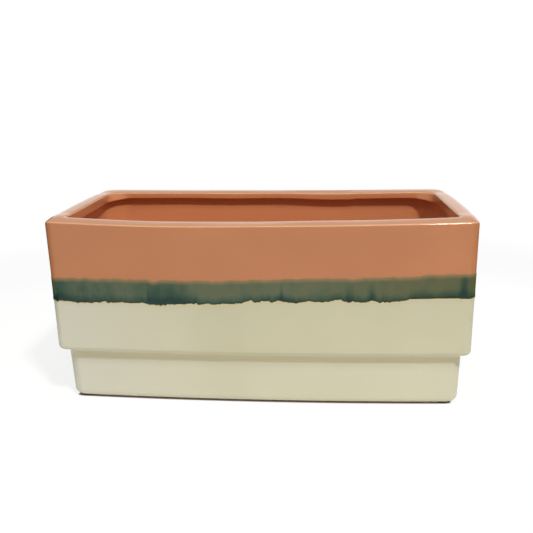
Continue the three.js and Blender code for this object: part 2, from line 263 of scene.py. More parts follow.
# Under the foot the paper is left in the dark: how far a point lies outside the foot's swelling outline
either_side = add_node(paper, "ShaderNodeVectorMath", {0: paper_place}, operation="ABSOLUTE")
aside = add_node(paper, "ShaderNodeSeparateXYZ", {0: either_side.outputs["Vector"]}).outputs
to_end = {0: aside["X"], 1: FOOT_HALF[0]}
past_end = add_node(paper, "ShaderNodeMath", to_end, operation="SUBTRACT").outputs[0]
squared = add_node(paper, "ShaderNodeMath", {0: aside["X"], 1: aside["X"]}, operation="MULTIPLY").outputs[0]
swelling = {0: squared, 1: FOOT_SWELL / FOOT_HALF[0] ** 2, 2: aside["Y"]}
bowed = add_node(paper, "ShaderNodeMath", swelling, operation="MULTIPLY_ADD").outputs[0]
past_side = {0: bowed, 1: FOOT_HALF[1] + FOOT_SWELL}
beside = add_node(paper, "ShaderNodeMath", past_side, operation="SUBTRACT").outputs[0]
outside = add_node(paper, "ShaderNodeMath", {0: past_end, 1: beside}, operation="MAXIMUM").outputs[0]
in_light = {"Value": outside, "From Min": FOOT_SHADE[0], "From Max": FOOT_SHADE[1]}
lit = add_node(paper, "ShaderNodeMapRange", in_light, interpolation_type="SMOOTHSTEP").outputs[0]
glow_share = add_node(paper, "ShaderNodeMath", {0: shown, 1: lit}, operation="MULTIPLY").outputs[0]
paper_look = {0: glow_share, 1: matte.outputs[0], 2: glow.outputs[0]}
paper_mix = add_node(paper, "ShaderNodeMixShader", paper_look)
add_node(paper, "ShaderNodeOutputMaterial", {"Surface": paper_mix.outputs[0]})
print("the shade under the foot is", 2 * in_mm(FOOT_HALF[0]), "mm long")

# %% Floor
FLOOR_REACH = 4.0
FLOOR_SQUARES = 8
FLOOR_DROP = 0.2 * MM


def link_mesh(name, bm, material):
    """Turns a bmesh into an object of the scene with one material."""
    mesh = bpy.data.meshes.new(name)
    bm.to_mesh(mesh)
    bm.free()
    mesh.materials.append(material)
    made = bpy.data.objects.new(name, mesh)
    bpy.context.scene.collection.objects.link(made)
    return made


floor_bm = bmesh.new()
bmesh.ops.create_grid(floor_bm, x_segments=FLOOR_SQUARES, y_segments=FLOOR_SQUARES, size=FLOOR_REACH)
bmesh.ops.translate(floor_bm, verts=floor_bm.verts[:], vec=(0, 0, -FLOOR_DROP))
floor = link_mesh("paper_floor", floor_bm, floor_material)
print("floor is", 2 * FLOOR_REACH, "m across")

# %% Dark cards
CARD_ASIDE = 0.34
CARD_HEIGHT = 0.26
CARD_LENGTH = 0.7
CARD_TONE = "#3A3A38"

card_material = bpy.data.materials.new("dark_card")
card_material.use_nodes = True
# Matt card on both sides, just outside the picture: it draws the round corners of a glossy object darker
card_shader = card_material.node_tree.nodes["Principled BSDF"]
card_shader.inputs["Base Color"].default_value = linear(CARD_TONE)
card_shader.inputs["Roughness"].default_value = 1.0
for side in (-1, 1):
    standing = (
        Matrix.Translation((side * CARD_ASIDE, 0, CARD_HEIGHT / 2))
        @ Matrix.Rotation(math.pi / 2, 4, "Y")
        @ Matrix.Diagonal((CARD_HEIGHT / 2, CARD_LENGTH / 2, 1, 1))
    )
    card_bm = bmesh.new()
    bmesh.ops.create_grid(card_bm, x_segments=1, y_segments=1, size=1, matrix=standing)
    card = link_mesh("dark_card", card_bm, card_material)
    card.visible_camera = False
    card.visible_diffuse = False
    card.visible_shadow = False
print("two cards stand", CARD_ASIDE, "m to the sides")

# %% [markdown]
# ## Glossy terracotta glaze
#
# The upper half is dipped in an opaque glaze coloured with iron. It melts to a glassy skin, so it shines,
# but the melt never settles quite evenly: the tone drifts over a few centimetres and has a faint, finer
# mottle from bubbles that healed over. Two noises at those two real sizes mix a darker and a lighter tone.
# A fine pale line along the rim's upper edges, and a fainter paleness over its top, are a painted
# highlight, partly also glaze that ran thin there.
# Inside it was poured, and there the glaze takes a brighter orange tone: painted bounce light from the
# orange walls, which also lies on the lip's side that faces the mouth. The meshes carry both as numbers on
# their vertices.

# %% Glaze colour shared by the dipped glazes
TERRACOTTA_TONES = ("#B1734E", "#B87951")
TERRACOTTA_SIZES = (70 * MM, 4 * MM)
GLAZE_IOR = 1.5
GLAZE_SPECULAR = 0.3
GRAIN = 0.18
NOISE_MIDDLE = 0.5
NOISE_REACH = 0.2


def new_finish(name):
    """A material with its node tree, its surface shader and the object coordinates that patterns follow."""
    material = bpy.data.materials.new(name)
    material.use_nodes = True
    tree = material.node_tree
    place = add_node(tree, "ShaderNodeTexCoord").outputs["Object"]
    return material, tree, tree.nodes["Principled BSDF"], place


def uneven_colour(tree, place, tones, sizes, grain=GRAIN):
    """A colour that wanders between two tones: slowly over the first size, and finely over the second."""
    slow = add_node(tree, "ShaderNodeTexNoise", {"Vector": place, "Scale": 1 / sizes[0], "Detail": 2.0})
    fine = add_node(tree, "ShaderNodeTexNoise", {"Vector": place, "Scale": 1 / sizes[1], "Detail": 3.0})
    sum_up = {0: fine.outputs["Fac"], 1: grain, 2: slow.outputs["Fac"]}
    tone = add_node(tree, "ShaderNodeMath", sum_up, operation="MULTIPLY_ADD")
    middle = NOISE_MIDDLE * (1 + grain)
    reach = NOISE_REACH * (1 + grain)
    spread = {"Value": tone.outputs[0], "From Min": middle - reach, "From Max": middle + reach}
    share = add_node(tree, "ShaderNodeMapRange", spread)
    blend = {0: share.outputs[0], MIX_A: linear(tones[0]), MIX_B: linear(tones[1])}
    return add_node(tree, "ShaderNodeMix", blend, data_type="RGBA").outputs[MIX_COLOUR]


def ripple(tree, place, size, depth):
    """An uneven surface, as a bump of a real size and depth."""
    waves = add_node(tree, "ShaderNodeTexNoise", {"Vector": place, "Scale": 1 / size, "Detail": 2.0})
    bump = {"Height": waves.outputs["Fac"], "Distance": depth, "Strength": 1.0}
    return add_node(tree, "ShaderNodeBump", bump).outputs["Normal"]


print("terracotta tones", TERRACOTTA_TONES)

# %% Terracotta glaze
# Brighter tones of the poured coat inside: painted bounce light from the orange walls
BOUNCE_LIT_TONES = ("#CB8358", "#D28A5D")
POURED_AND_BOUNCE_LIT = "poured_glaze_bounce_light"
# Painted highlight along the rim's upper edges and over its top, partly glaze that ran thin there
PAINTED_HIGHLIGHT_AND_THIN_GLAZE = "painted_highlight_and_thin_glaze"
HIGHLIGHT_TONE = "#CBA07C"
TERRACOTTA_ROUGHNESS = 0.1
TERRACOTTA_RIPPLE = (9 * MM, 0.015 * MM)

terracotta, tree, shader, place = new_finish("terracotta_gloss_glaze")
# An iron glaze fired glossy: saturated colour under a clear reflection that fine pinholes weaken a little
dipped_colour = uneven_colour(tree, place, TERRACOTTA_TONES, TERRACOTTA_SIZES)
bounce_lit_colour = uneven_colour(tree, place, BOUNCE_LIT_TONES, TERRACOTTA_SIZES)
# Inside and on the lip's side facing the mouth, a brighter tone: painted bounce light
bounce_share = add_node(tree, "ShaderNodeAttribute", attribute_name=POURED_AND_BOUNCE_LIT).outputs["Fac"]
bounce_blend = {0: bounce_share, MIX_A: dipped_colour, MIX_B: bounce_lit_colour}
bounce_lit = add_node(tree, "ShaderNodeMix", bounce_blend, data_type="RGBA").outputs[MIX_COLOUR]
# A pale tone on the rim's upper edges and top: painted highlight, partly thin glaze
highlight_share = add_node(tree, "ShaderNodeAttribute", attribute_name=PAINTED_HIGHLIGHT_AND_THIN_GLAZE).outputs["Fac"]
highlight_blend = {0: highlight_share, MIX_A: bounce_lit, MIX_B: linear(HIGHLIGHT_TONE)}
colour = add_node(tree, "ShaderNodeMix", highlight_blend, data_type="RGBA").outputs[MIX_COLOUR]
tree.links.new(colour, shader.inputs["Base Color"])
tree.links.new(ripple(tree, place, *TERRACOTTA_RIPPLE), shader.inputs["Normal"])
shader.inputs["Roughness"].default_value = TERRACOTTA_ROUGHNESS
shader.inputs["IOR"].default_value = GLAZE_IOR
shader.inputs["Specular IOR Level"].default_value = GLAZE_SPECULAR
print("made", terracotta.name)

# %% [markdown]
# ## Satin cream glaze
#
# The lower half is a matt white glaze with a little iron, which fires to a soft cream. Fine crystals in
# its surface scatter the reflection, so it is made with a higher roughness and hardly any ripple. Its tone
# is paler on the plinth, painted bounce light from the floor, warmer and yellower in the angle under the
# shoulder, painted warm bounce light in the shade there, and cooler towards the left end.

# %% Cream glaze
CREAM_TONES = ("#BBB598", "#C1BB9E")
# Paler tones on the plinth: painted bounce light from the floor
PLINTH_BOUNCE_TONES = ("#C0BBA1", "#C6C1A7")
CREAM_SIZES = (80 * MM, 6 * MM)
CREAM_ROUGHNESS = 0.42
CREAM_RIPPLE = (2.5 * MM, 0.012 * MM)
BOUNCE_LIT_BELOW = (38 * MM, 44 * MM)
# A warmer tone in the angle under the shoulder: painted warm bounce light in the shade there
WARM_BOUNCE_TONE = "#D4C8A1"
WARM_BOUNCE_SPAN = (31 * MM, 35 * MM, 38.6 * MM, 40 * MM)
WARM_BOUNCE_SHARE = 0.65
COOL_TONE = "#CDC9BA"
COOL_SIDE = (-30 * MM, -150 * MM)
COOL_SHARE = 0.6


def laid_over(tree, under, over, value, span):
    """One colour laid over another, with an edge that fades in smoothly as a value crosses a span."""
    ends = {"Value": value, "From Min": span[0], "From Max": span[1]}
    share = add_node(tree, "ShaderNodeMapRange", ends, interpolation_type="SMOOTHSTEP").outputs[0]
    blend = {0: share, MIX_A: under, MIX_B: over}
    return add_node(tree, "ShaderNodeMix", blend, data_type="RGBA").outputs[MIX_COLOUR]


def cream_colour(tree, place):
    """The cream of the wall, paler on the plinth and warmer under the shoulder as painted bounce light, and
    cooler to the left.
    """
    wall = uneven_colour(tree, place, CREAM_TONES, CREAM_SIZES)
    # Paler on the plinth: painted bounce light from the floor
    bounce_lit_plinth = uneven_colour(tree, place, PLINTH_BOUNCE_TONES, CREAM_SIZES)
    parts = add_node(tree, "ShaderNodeSeparateXYZ", {0: place}).outputs
    even = laid_over(tree, bounce_lit_plinth, wall, parts["Z"], BOUNCE_LIT_BELOW)
    # Cooler and greyer towards the left end
    left = {"Value": parts["X"], "From Min": COOL_SIDE[0], "From Max": COOL_SIDE[1], "To Max": COOL_SHARE}
    to_left = add_node(tree, "ShaderNodeMapRange", left).outputs[0]
    cooler = {0: to_left, MIX_A: even, MIX_B: linear(COOL_TONE)}
    cool = add_node(tree, "ShaderNodeMix", cooler, data_type="RGBA").outputs[MIX_COLOUR]
    # Warmer under the shoulder: painted warm bounce light in its shade
    low = {"Value": parts["Z"], "From Min": WARM_BOUNCE_SPAN[0], "From Max": WARM_BOUNCE_SPAN[1], "To Max": WARM_BOUNCE_SHARE}
    high = {"Value": parts["Z"], "From Min": WARM_BOUNCE_SPAN[3], "From Max": WARM_BOUNCE_SPAN[2]}
    from_below = add_node(tree, "ShaderNodeMapRange", low, interpolation_type="SMOOTHSTEP").outputs[0]
    from_above = add_node(tree, "ShaderNodeMapRange", high, interpolation_type="SMOOTHSTEP").outputs[0]
    both = {0: from_below, 1: from_above}
    warm_bounce = add_node(tree, "ShaderNodeMath", both, operation="MULTIPLY").outputs[0]
    yellower = {0: warm_bounce, MIX_A: cool, MIX_B: linear(WARM_BOUNCE_TONE)}
    return add_node(tree, "ShaderNodeMix", yellower, data_type="RGBA").outputs[MIX_COLOUR]


cream, tree, shader, place = new_finish("cream_satin_glaze")
# A crystalline satin glaze: pale, soft highlights with no clear reflections
tree.links.new(cream_colour(tree, place), shader.inputs["Base Color"])
tree.links.new(ripple(tree, place, *CREAM_RIPPLE), shader.inputs["Normal"])
shader.inputs["Roughness"].default_value = CREAM_ROUGHNESS
shader.inputs["IOR"].default_value = GLAZE_IOR
shader.inputs["Specular IOR Level"].default_value = GLAZE_SPECULAR
print("made", cream.name)

# %% [markdown]
# ## Running teal glaze
#
# A copper and iron glaze is brushed over the seam of the other two. It melts more than they do and runs:
# thin and olive at its upper edge, thicker and greener towards the drips, darkest where it pools. The band's
# mesh carries three numbers on each vertex: the height above the drips' edge, the depth below the upper
# edge, both in millimetres, and how much glaze has pooled. The material only reads them, so the colour
# follows the real shape, and at both edges it fades into the very glazes that lie beside it.

# %% Running glaze
ABOVE_DRIPS = "above_drips_mm"
BELOW_TOP = "below_top_mm"
POOLED = "pooled"
TEAL_STEPS = ((0.0, "#62603F"), (0.3, "#545C44"), (0.65, "#2F4836"), (1.0, "#152F29"))
STREAK_WIDTH = 7 * MM
STREAK_LENGTH = 40 * MM
STREAK_TONE = 0.36
BLOTCH_SIZE = 9 * MM
BLOTCH_TONE = 0.46
RUN_FROM = 7.5
RUN_TO = 0.3
RUN_TONES = (0.27, 0.64)
LAST_DRIP = (2.6, 0.3)
LAST_TONE = 0.2

teal, tree, shader, place = new_finish("running_teal_glaze")
# A fluid copper and iron glaze: glossy, olive where it is a film and a deep green where it gathers
drips = add_node(tree, "ShaderNodeAttribute", attribute_name=ABOVE_DRIPS).outputs["Fac"]
top = add_node(tree, "ShaderNodeAttribute", attribute_name=BELOW_TOP).outputs["Fac"]
pooled = add_node(tree, "ShaderNodeAttribute", attribute_name=POOLED).outputs["Fac"]
upright = {"Vector": place, "Scale": (1 / STREAK_WIDTH, 1 / STREAK_WIDTH, 1 / STREAK_LENGTH)}
streak_place = add_node(tree, "ShaderNodeMapping", upright).outputs["Vector"]
streaks = add_node(tree, "ShaderNodeTexNoise", {"Vector": streak_place, "Scale": 1.0, "Detail": 3.0})

# Thickness of the glaze, from 0 to 1: it gathers towards the drips, in streaks and in pools
gather = {
    "Value": drips,
    "From Min": RUN_FROM,
    "From Max": RUN_TO,
    "To Min": RUN_TONES[0],
    "To Max": RUN_TONES[1],
}
run_down = add_node(tree, "ShaderNodeMapRange", gather, interpolation_type="SMOOTHSTEP").outputs[0]
streaky = {0: streaks.outputs["Fac"], 1: STREAK_TONE, 2: -STREAK_TONE / 2}
streak_share = add_node(tree, "ShaderNodeMath", streaky, operation="MULTIPLY_ADD").outputs[0]
blotches = add_node(tree, "ShaderNodeTexNoise", {"Vector": place, "Scale": 1 / BLOTCH_SIZE, "Detail": 4.0})
blotchy = {0: blotches.outputs["Fac"], 1: BLOTCH_TONE, 2: -BLOTCH_TONE / 2}
blotch_share = add_node(tree, "ShaderNodeMath", blotchy, operation="MULTIPLY_ADD").outputs[0]
last = {"Value": drips, "From Min": LAST_DRIP[0], "From Max": LAST_DRIP[1], "To Max": LAST_TONE}
last_drip = add_node(tree, "ShaderNodeMapRange", last, interpolation_type="SMOOTHSTEP").outputs[0]
in_drips = add_node(tree, "ShaderNodeMath", {0: last_drip, 1: pooled}, operation="ADD").outputs[0]
uneven = add_node(tree, "ShaderNodeMath", {0: streak_share, 1: blotch_share}, operation="ADD").outputs[0]
thin_part = add_node(tree, "ShaderNodeMath", {0: run_down, 1: uneven}, operation="ADD").outputs[0]
thickness = add_node(tree, "ShaderNodeMath", {0: thin_part, 1: in_drips}, operation="ADD").outputs[0]
ramp = add_node(tree, "ShaderNodeValToRGB", {"Fac": thickness})
while len(ramp.color_ramp.elements) < len(TEAL_STEPS):
    ramp.color_ramp.elements.new(1.0)
for element, (at, tone) in zip(ramp.color_ramp.elements, TEAL_STEPS):
    element.position = at
    element.color = linear(tone)
print("teal glaze has", len(TEAL_STEPS), "tones from thin to pooled")

# %% Edges of the running glaze
OLIVE_FILM = "#7F6B48"
DRIP_HALO = "#CBB87E"
# More iron was brushed on towards the right, which turns the green to olive there
OLIVE_CAST = "#FBF0DA"
OLIVE_SIDE = (20 * MM, 120 * MM)
# Spans below the upper edge and above the drips' edge in which one look turns into the next, in mm
FILM_FADE = (-0.7, 0.5)
TOP_FADE = (0.0, 3.6)
HALO_FADE = (-1.3, -0.1)
DRIP_EDGE = (-0.12, 0.12)
TEAL_ROUGHNESS = 0.2
TEAL_RIPPLE = (5 * MM, 0.012 * MM)

above = uneven_colour(tree, place, TERRACOTTA_TONES, TERRACOTTA_SIZES)
film = laid_over(tree, above, linear(OLIVE_FILM), top, FILM_FADE)
sideways = add_node(tree, "ShaderNodeSeparateXYZ", {0: place}).outputs["X"]
warmer = {"Value": sideways, "From Min": OLIVE_SIDE[0], "From Max": OLIVE_SIDE[1]}
iron_share = add_node(tree, "ShaderNodeMapRange", warmer).outputs[0]
olive = {0: iron_share, MIX_A: ramp.outputs["Color"], MIX_B: linear(OLIVE_CAST)}
green = add_node(tree, "ShaderNodeMix", olive, data_type="RGBA", blend_type="MULTIPLY").outputs[MIX_COLOUR]
run = laid_over(tree, film, green, top, TOP_FADE)
halo = laid_over(tree, cream_colour(tree, place), linear(DRIP_HALO), drips, HALO_FADE)
tree.links.new(laid_over(tree, halo, run, drips, DRIP_EDGE), shader.inputs["Base Color"])
shine = {
    "Value": drips,
    "From Min": DRIP_EDGE[0],
    "From Max": DRIP_EDGE[1],
    "To Min": CREAM_ROUGHNESS,
    "To Max": TEAL_ROUGHNESS,
}
glossier = add_node(tree, "ShaderNodeMapRange", shine, interpolation_type="SMOOTHSTEP").outputs[0]
tree.links.new(glossier, shader.inputs["Roughness"])
tree.links.new(ripple(tree, place, *TEAL_RIPPLE), shader.inputs["Normal"])
shader.inputs["IOR"].default_value = GLAZE_IOR
shader.inputs["Specular IOR Level"].default_value = GLAZE_SPECULAR
print("made", teal.name)

# %% [markdown]
# ## Bare stoneware, rubber and felt
#
# The foot and the underside are left bare so that the pot doesn't stick to the kiln shelf: dry, sandy
# clay with dark and pale grit. The drain plugs are moulded rubber, matt with a fine bloom, and the pads
# under the foot are pressed wool felt, dull and hairy.

# %% Bare stoneware
CLAY_TONES = ("#A97C5A", "#BD936F")
CLAY_SIZES = (30 * MM, 2 * MM)
CLAY_ROUGHNESS = 0.9
CLAY_RIPPLE = (0.8 * MM, 0.08 * MM)
EVEN_GRAIN = 1.0
GRIT_TONE = "#7A5740"
GRIT_SIZE = 0.9 * MM
GRIT_EDGE = (0.12, 0.3)
GRIT_SHARE = 0.55

stoneware, tree, shader, place = new_finish("bare_fired_stoneware")
# Fired clay without glaze: rough, dry, and speckled with grit
clay = uneven_colour(tree, place, CLAY_TONES, CLAY_SIZES, EVEN_GRAIN)
grit = add_node(tree, "ShaderNodeTexVoronoi", {"Vector": place, "Scale": 1 / GRIT_SIZE})
grit_span = {
    "Value": grit.outputs["Distance"],
    "From Min": GRIT_EDGE[0],
    "From Max": GRIT_EDGE[1],
    "To Min": GRIT_SHARE,
    "To Max": 0.0,
}
grit_share = add_node(tree, "ShaderNodeMapRange", grit_span)
speckled = {0: grit_share.outputs[0], MIX_A: clay, MIX_B: linear(GRIT_TONE)}
speckle = add_node(tree, "ShaderNodeMix", speckled, data_type="RGBA")
tree.links.new(speckle.outputs[MIX_COLOUR], shader.inputs["Base Color"])
tree.links.new(ripple(tree, place, *CLAY_RIPPLE), shader.inputs["Normal"])
shader.inputs["Roughness"].default_value = CLAY_ROUGHNESS
print("made", stoneware.name)

# %% Plug rubber
RUBBER_TONES = ("#7F7B75", "#928E87")
RUBBER_SIZES = (9 * MM, 0.9 * MM)
RUBBER_ROUGHNESS = 0.62
RUBBER_IOR = 1.52
RUBBER_RIPPLE = (0.5 * MM, 0.02 * MM)

rubber, tree, shader, place = new_finish("moulded_grey_rubber")
# Moulded soft rubber: matt, with a cloudy bloom from handling
bloom = uneven_colour(tree, place, RUBBER_TONES, RUBBER_SIZES, EVEN_GRAIN)
tree.links.new(bloom, shader.inputs["Base Color"])
tree.links.new(ripple(tree, place, *RUBBER_RIPPLE), shader.inputs["Normal"])
shader.inputs["Roughness"].default_value = RUBBER_ROUGHNESS
shader.inputs["IOR"].default_value = RUBBER_IOR
print("made", rubber.name)

# %% Pad felt
FELT_TONES = ("#2E241E", "#4A3C32")
FELT_ROUGHNESS = 0.95
FELT_SHEEN = 0.35
FELT_RIPPLE = (0.35 * MM, 0.12 * MM)
FIBRE_LENGTH = 1.6 * MM
FIBRE_WIDTH = 0.25 * MM
# Slow and fine changes of tone, counted in fibres
FIBRE_SIZES = (3.0, 1.0)

felt, tree, shader, place = new_finish("pressed_wool_felt")
# Pressed wool: dark, no gloss, with short tangled fibres that catch light at the edge
fibre_scale = (1 / FIBRE_LENGTH, 1 / FIBRE_WIDTH, 1 / FIBRE_WIDTH)
along_fibres = add_node(tree, "ShaderNodeMapping", {"Vector": place, "Scale": fibre_scale}).outputs["Vector"]
fibres = uneven_colour(tree, along_fibres, FELT_TONES, FIBRE_SIZES, EVEN_GRAIN)
tree.links.new(fibres, shader.inputs["Base Color"])
tree.links.new(ripple(tree, place, *FELT_RIPPLE), shader.inputs["Normal"])
shader.inputs["Roughness"].default_value = FELT_ROUGHNESS
shader.inputs["Sheen Weight"].default_value = FELT_SHEEN
print("made", felt.name)

# %% [markdown]
# ## The wall's section
#
# The whole pot is one section carried round a rounded rectangle: plinth, shoulder step, leaning wall,
# in-turned rim, and back down inside. A corner of the section becomes a ring of the pot. It is written as
# how far it lies inside the rim's outline, its height, the radius of its round edge, the radius that the
# pot's upright corners have there, and how much lower it lies at the two ends. The body's rings lie deeper
# by the thickness of the glaze, so one function gives them all for a depth under the glazed surface.

# %% Sizes
LENGTH = 305 * MM
WIDTH = 152 * MM
HEIGHT = 137.5 * MM
RIM_BOW = 6 * MM
FOOT_BOW = 4 * MM
END_BOW = 2.5 * MM
RIM_SAG = 1.6 * MM
WALL = 6.5 * MM
WALL_DRAFT = 0.5 * MM
SHOULDER_HEIGHT = 41 * MM
SHOULDER_FALL = 1.4 * MM
SHOULDER_STEP = 5.2 * MM
PLINTH_DRAFT = 1 * MM
PLINTH_INSET = WALL_DRAFT + SHOULDER_STEP
FOOT_INSET = PLINTH_INSET + PLINTH_DRAFT
FOOT_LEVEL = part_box("foot_pad_front_left")[1].z
FOOT_RING = 15 * MM
FOOT_HOLLOW = 2.5 * MM
FLOOR_THICKNESS = 8 * MM
FLOOR_LEVEL = FOOT_LEVEL + FOOT_HOLLOW + FLOOR_THICKNESS
LEDGE_FALL = 3 * MM
RIM_WIDTH = 14.5 * MM
END_RIM_WIDTH = 12.8 * MM
RIM_CROWN = 0.2 * MM
CROWN_WAYS = (0.22, 0.36, 0.5, 0.64, 0.78)
RIM_WALL = 10 * MM
LIP_HEIGHT = 5.5 * MM
LIP_LEVEL = HEIGHT - LIP_HEIGHT
END_LIP_DROP = 2.2 * MM
GLAZE = 0.6 * MM
BOND = 0.3 * MM
print("foot stands at", in_mm(FOOT_LEVEL, 2), "mm and the floor lies at", in_mm(FLOOR_LEVEL, 2), "mm")

# %% Round edges and upright corners
FOOT_EDGE = 4 * MM
COVE = 1.6 * MM
SHOULDER_EDGE = 3.6 * MM
RIM_EDGE = 1.6 * MM
LIP_EDGE = 1.2 * MM
LIP_UNDERSIDE = 0.7 * MM
UNDER_RIM_EDGE = 2 * MM
INSIDE_EDGE = 4 * MM
FLOOR_EDGE = 8 * MM
RIM_CORNER = 5 * MM
FOOT_CORNER = 8.5 * MM
MOUTH_CORNER = 4 * MM
LIP_CORNER = 10 * MM
INSIDE_CORNER = 12 * MM
# The two corners at the back are rounder than those in front, by this much
BACK_ROUNDER = 7 * MM

Ring = namedtuple("Ring", "inset z edge corner drop end_inset end_bow")


def outer_ring(inset, z, edge=0.0, depth=0.0):
    """A ring of the outside at a depth under the glaze. Its upright corners get rounder towards the foot."""
    corner = RIM_CORNER + (FOOT_CORNER - RIM_CORNER) * clamp(inset / FOOT_INSET)
    return Ring(inset + depth, z, edge, corner - depth, 0.0, inset + depth, END_BOW)


def inner_ring(inset, z, edge=0.0, depth=0.0, drop=0.0, thicker=0.0):
    """A ring of the inside at a depth under the glaze. The long walls can be thicker there than the ends."""
    return Ring(inset + thicker - depth, z, edge, INSIDE_CORNER + depth, drop, inset - depth, END_BOW)


def mouth_ring(z, edge, depth, corner, drop=0.0):
    """A ring of the mouth at a depth under the glaze. Its ends are straight, with a narrower rim."""
    return Ring(RIM_WIDTH - depth, z, edge, corner + depth, drop, END_RIM_WIDTH - depth, 0.0)


def between(ring, other, way):
    """A plain ring that lies part of the way from one ring to another."""
    return Ring(*(a + (b - a) * way for a, b in zip(ring, other)))


def section(depth):
    """The rings of the pot on a surface at a depth under the glazed one."""
    ledge = SHOULDER_HEIGHT + WALL - depth
    under_lip = LIP_LEVEL + depth
    rim_edge = HEIGHT - RIM_CROWN - depth
    rim = outer_ring(0.0, rim_edge, RIM_EDGE - depth, depth)
    lip = mouth_ring(rim_edge, LIP_EDGE - depth, depth, MOUTH_CORNER)
    crown = {}
    for way in CROWN_WAYS:
        level = HEIGHT - depth - RIM_CROWN * (2 * way - 1) ** 2
        crown[f"crown_{way}"] = between(rim, lip, way)._replace(z=level, edge=0.0)
    thicker = RIM_WALL - WALL
    return {
        "foot": outer_ring(FOOT_INSET, FOOT_LEVEL, FOOT_EDGE - depth, depth),
        "cove": outer_ring(PLINTH_INSET, SHOULDER_HEIGHT - SHOULDER_FALL + depth, COVE + depth, depth),
        "shoulder": outer_ring(WALL_DRAFT, SHOULDER_HEIGHT + depth, SHOULDER_EDGE - depth, depth),
        "rim": rim,
        **crown,
        "lip": lip,
        "lip_edge": mouth_ring(under_lip, LIP_UNDERSIDE, depth, LIP_CORNER, END_LIP_DROP),
        "under_rim": inner_ring(WALL, under_lip, UNDER_RIM_EDGE + depth, depth, END_LIP_DROP, thicker),
        "ledge_back": inner_ring(WALL_DRAFT + WALL, ledge + LEDGE_FALL, INSIDE_EDGE + depth, depth),
        "ledge_edge": inner_ring(PLINTH_INSET + WALL, ledge, INSIDE_EDGE - depth, depth),
        "floor": inner_ring(FOOT_INSET + WALL, FLOOR_LEVEL - depth, FLOOR_EDGE + depth, depth),
    }


glazed = section(0)
print("section has", len(glazed), "rings")

# %% [markdown]
# ## Carrying the section round
#
# The outline starts as a square whose four corners are bevelled and whose sides are cut into short steps.
# Each vertex keeps two things in its own layers: the place on the square's inner core that it belongs to,
# and the way it faces. From these it finds its place on any ring of the pot, however long, wide or round
# that ring is, and the layers are copied along when the outline is extruded from ring to ring.

# %% Outline
UNIT_CORNER = 0.2
# Steps in each corner, in each long side and in each end
OUTLINE_STEPS = (16, 120, 56)


def round_off(bm, geom, width, segments, affect="EDGES"):
    """Rounds edges, or the corners of a flat outline, by bevelling them."""
    bmesh.ops.bevel(
        bm,
        geom=geom,
        offset=width,
        offset_type="OFFSET",
        segments=segments,
        profile=0.5,
        affect=affect,
        clamp_overlap=False,
        material=-1,
    )


def draw_outline(bm, corner_steps, long_steps, end_steps):
    """A closed loop of edges round a rounded square, with the layers that place its vertices."""
    core = bm.verts.layers.float_vector.new("core")
    facing = bm.verts.layers.float_vector.new("facing")
    bmesh.ops.create_grid(bm, x_segments=1, y_segments=1, size=1)
    round_off(bm, bm.verts[:], UNIT_CORNER, corner_steps, affect="VERTICES")
    bmesh.ops.delete(bm, geom=bm.faces[:], context="FACES_ONLY")
    for axis, steps in ((0, long_steps), (1, end_steps)):
        sides = [edge for edge in bm.edges if abs(edge.verts[0].co[axis] - edge.verts[1].co[axis]) > 1]
        bmesh.ops.subdivide_edges(bm, edges=sides, cuts=steps - 1)
    reach = 1 - UNIT_CORNER
    for vert in bm.verts:
        inner = Vector((clamp(vert.co.x, -reach, reach), clamp(vert.co.y, -reach, reach), 0))
        vert[core] = inner / reach
        vert[facing] = (vert.co - inner).normalized()
    return bm.edges[:]


trial = bmesh.new()
print("outline of", len(draw_outline(trial, *OUTLINE_STEPS)), "edges")
trial.free()

# %% Ring places


def long_bow(z):
    """Swelling of the long sides at a height."""
    return FOOT_BOW + (RIM_BOW - FOOT_BOW) * z / HEIGHT


def rise(z):
    """0 at the shoulder and below it, 1 at the rim."""
    return clamp((z - SHOULDER_HEIGHT) / (HEIGHT - SHOULDER_HEIGHT))


def ring_place(core, facing, ring):
    """Where a vertex of the outline lies on a ring of the pot."""
    half_x = LENGTH / 2 - ring.end_bow - ring.end_inset
    half_y = WIDTH / 2 - long_bow(ring.z) - ring.inset
    tight = min(ring.corner, FOOT_CORNER)
    x = core.x * (half_x - tight) + facing.x * tight
    y = core.y * (half_y - tight) + facing.y * tight
    endways = abs(facing.x)
    corner = ring.corner + BACK_ROUNDER * (y > 0)
    into = Vector((abs(x) - half_x + corner, abs(y) - half_y + corner))
    if min(into) > 0:
        endways = into.x / into.length
        into *= corner / into.length
        x = math.copysign(half_x - corner + into.x, x)
        y = math.copysign(half_y - corner + into.y, y)
    middle_x = max(0.0, 1 - (x / half_x) ** 2)
    middle_y = max(0.0, 1 - (y / half_y) ** 2)
    return Vector(
        (
            x + math.copysign(ring.end_bow * middle_y, x),
            y + math.copysign(long_bow(ring.z) * middle_x, y),
            ring.z - RIM_SAG * rise(ring.z) ** 2 * middle_x - ring.drop * endways,
        )
    )


front = Vector((0, -1, 0))
print("front of the rim swells to y =", in_mm(ring_place(front, front, glazed["rim"]).y, 2), "mm")

# %% [markdown]
# ## From a section to a mesh
#
# A sweep extrudes the outline through the rings of a section, and then bevels each ring to its radius.
# Bevelling after the sweep gives true round edges from one call each, where a hand-written arc would need
# many points. Long straight runs get extra rings, so that the surface can be made uneven later.

# %% Sweep and rounding
ROW_HEIGHT = 5 * MM
EDGE_SEGMENTS = 6


def bevel_width(before, at, after):
    """How far a ring's round edge reaches along the two runs of the section that meet there."""
    back = Vector((before.inset - at.inset, before.z - at.z))
    ahead = Vector((after.inset - at.inset, after.z - at.z))
    return at.edge / math.tan(back.angle(ahead) / 2)


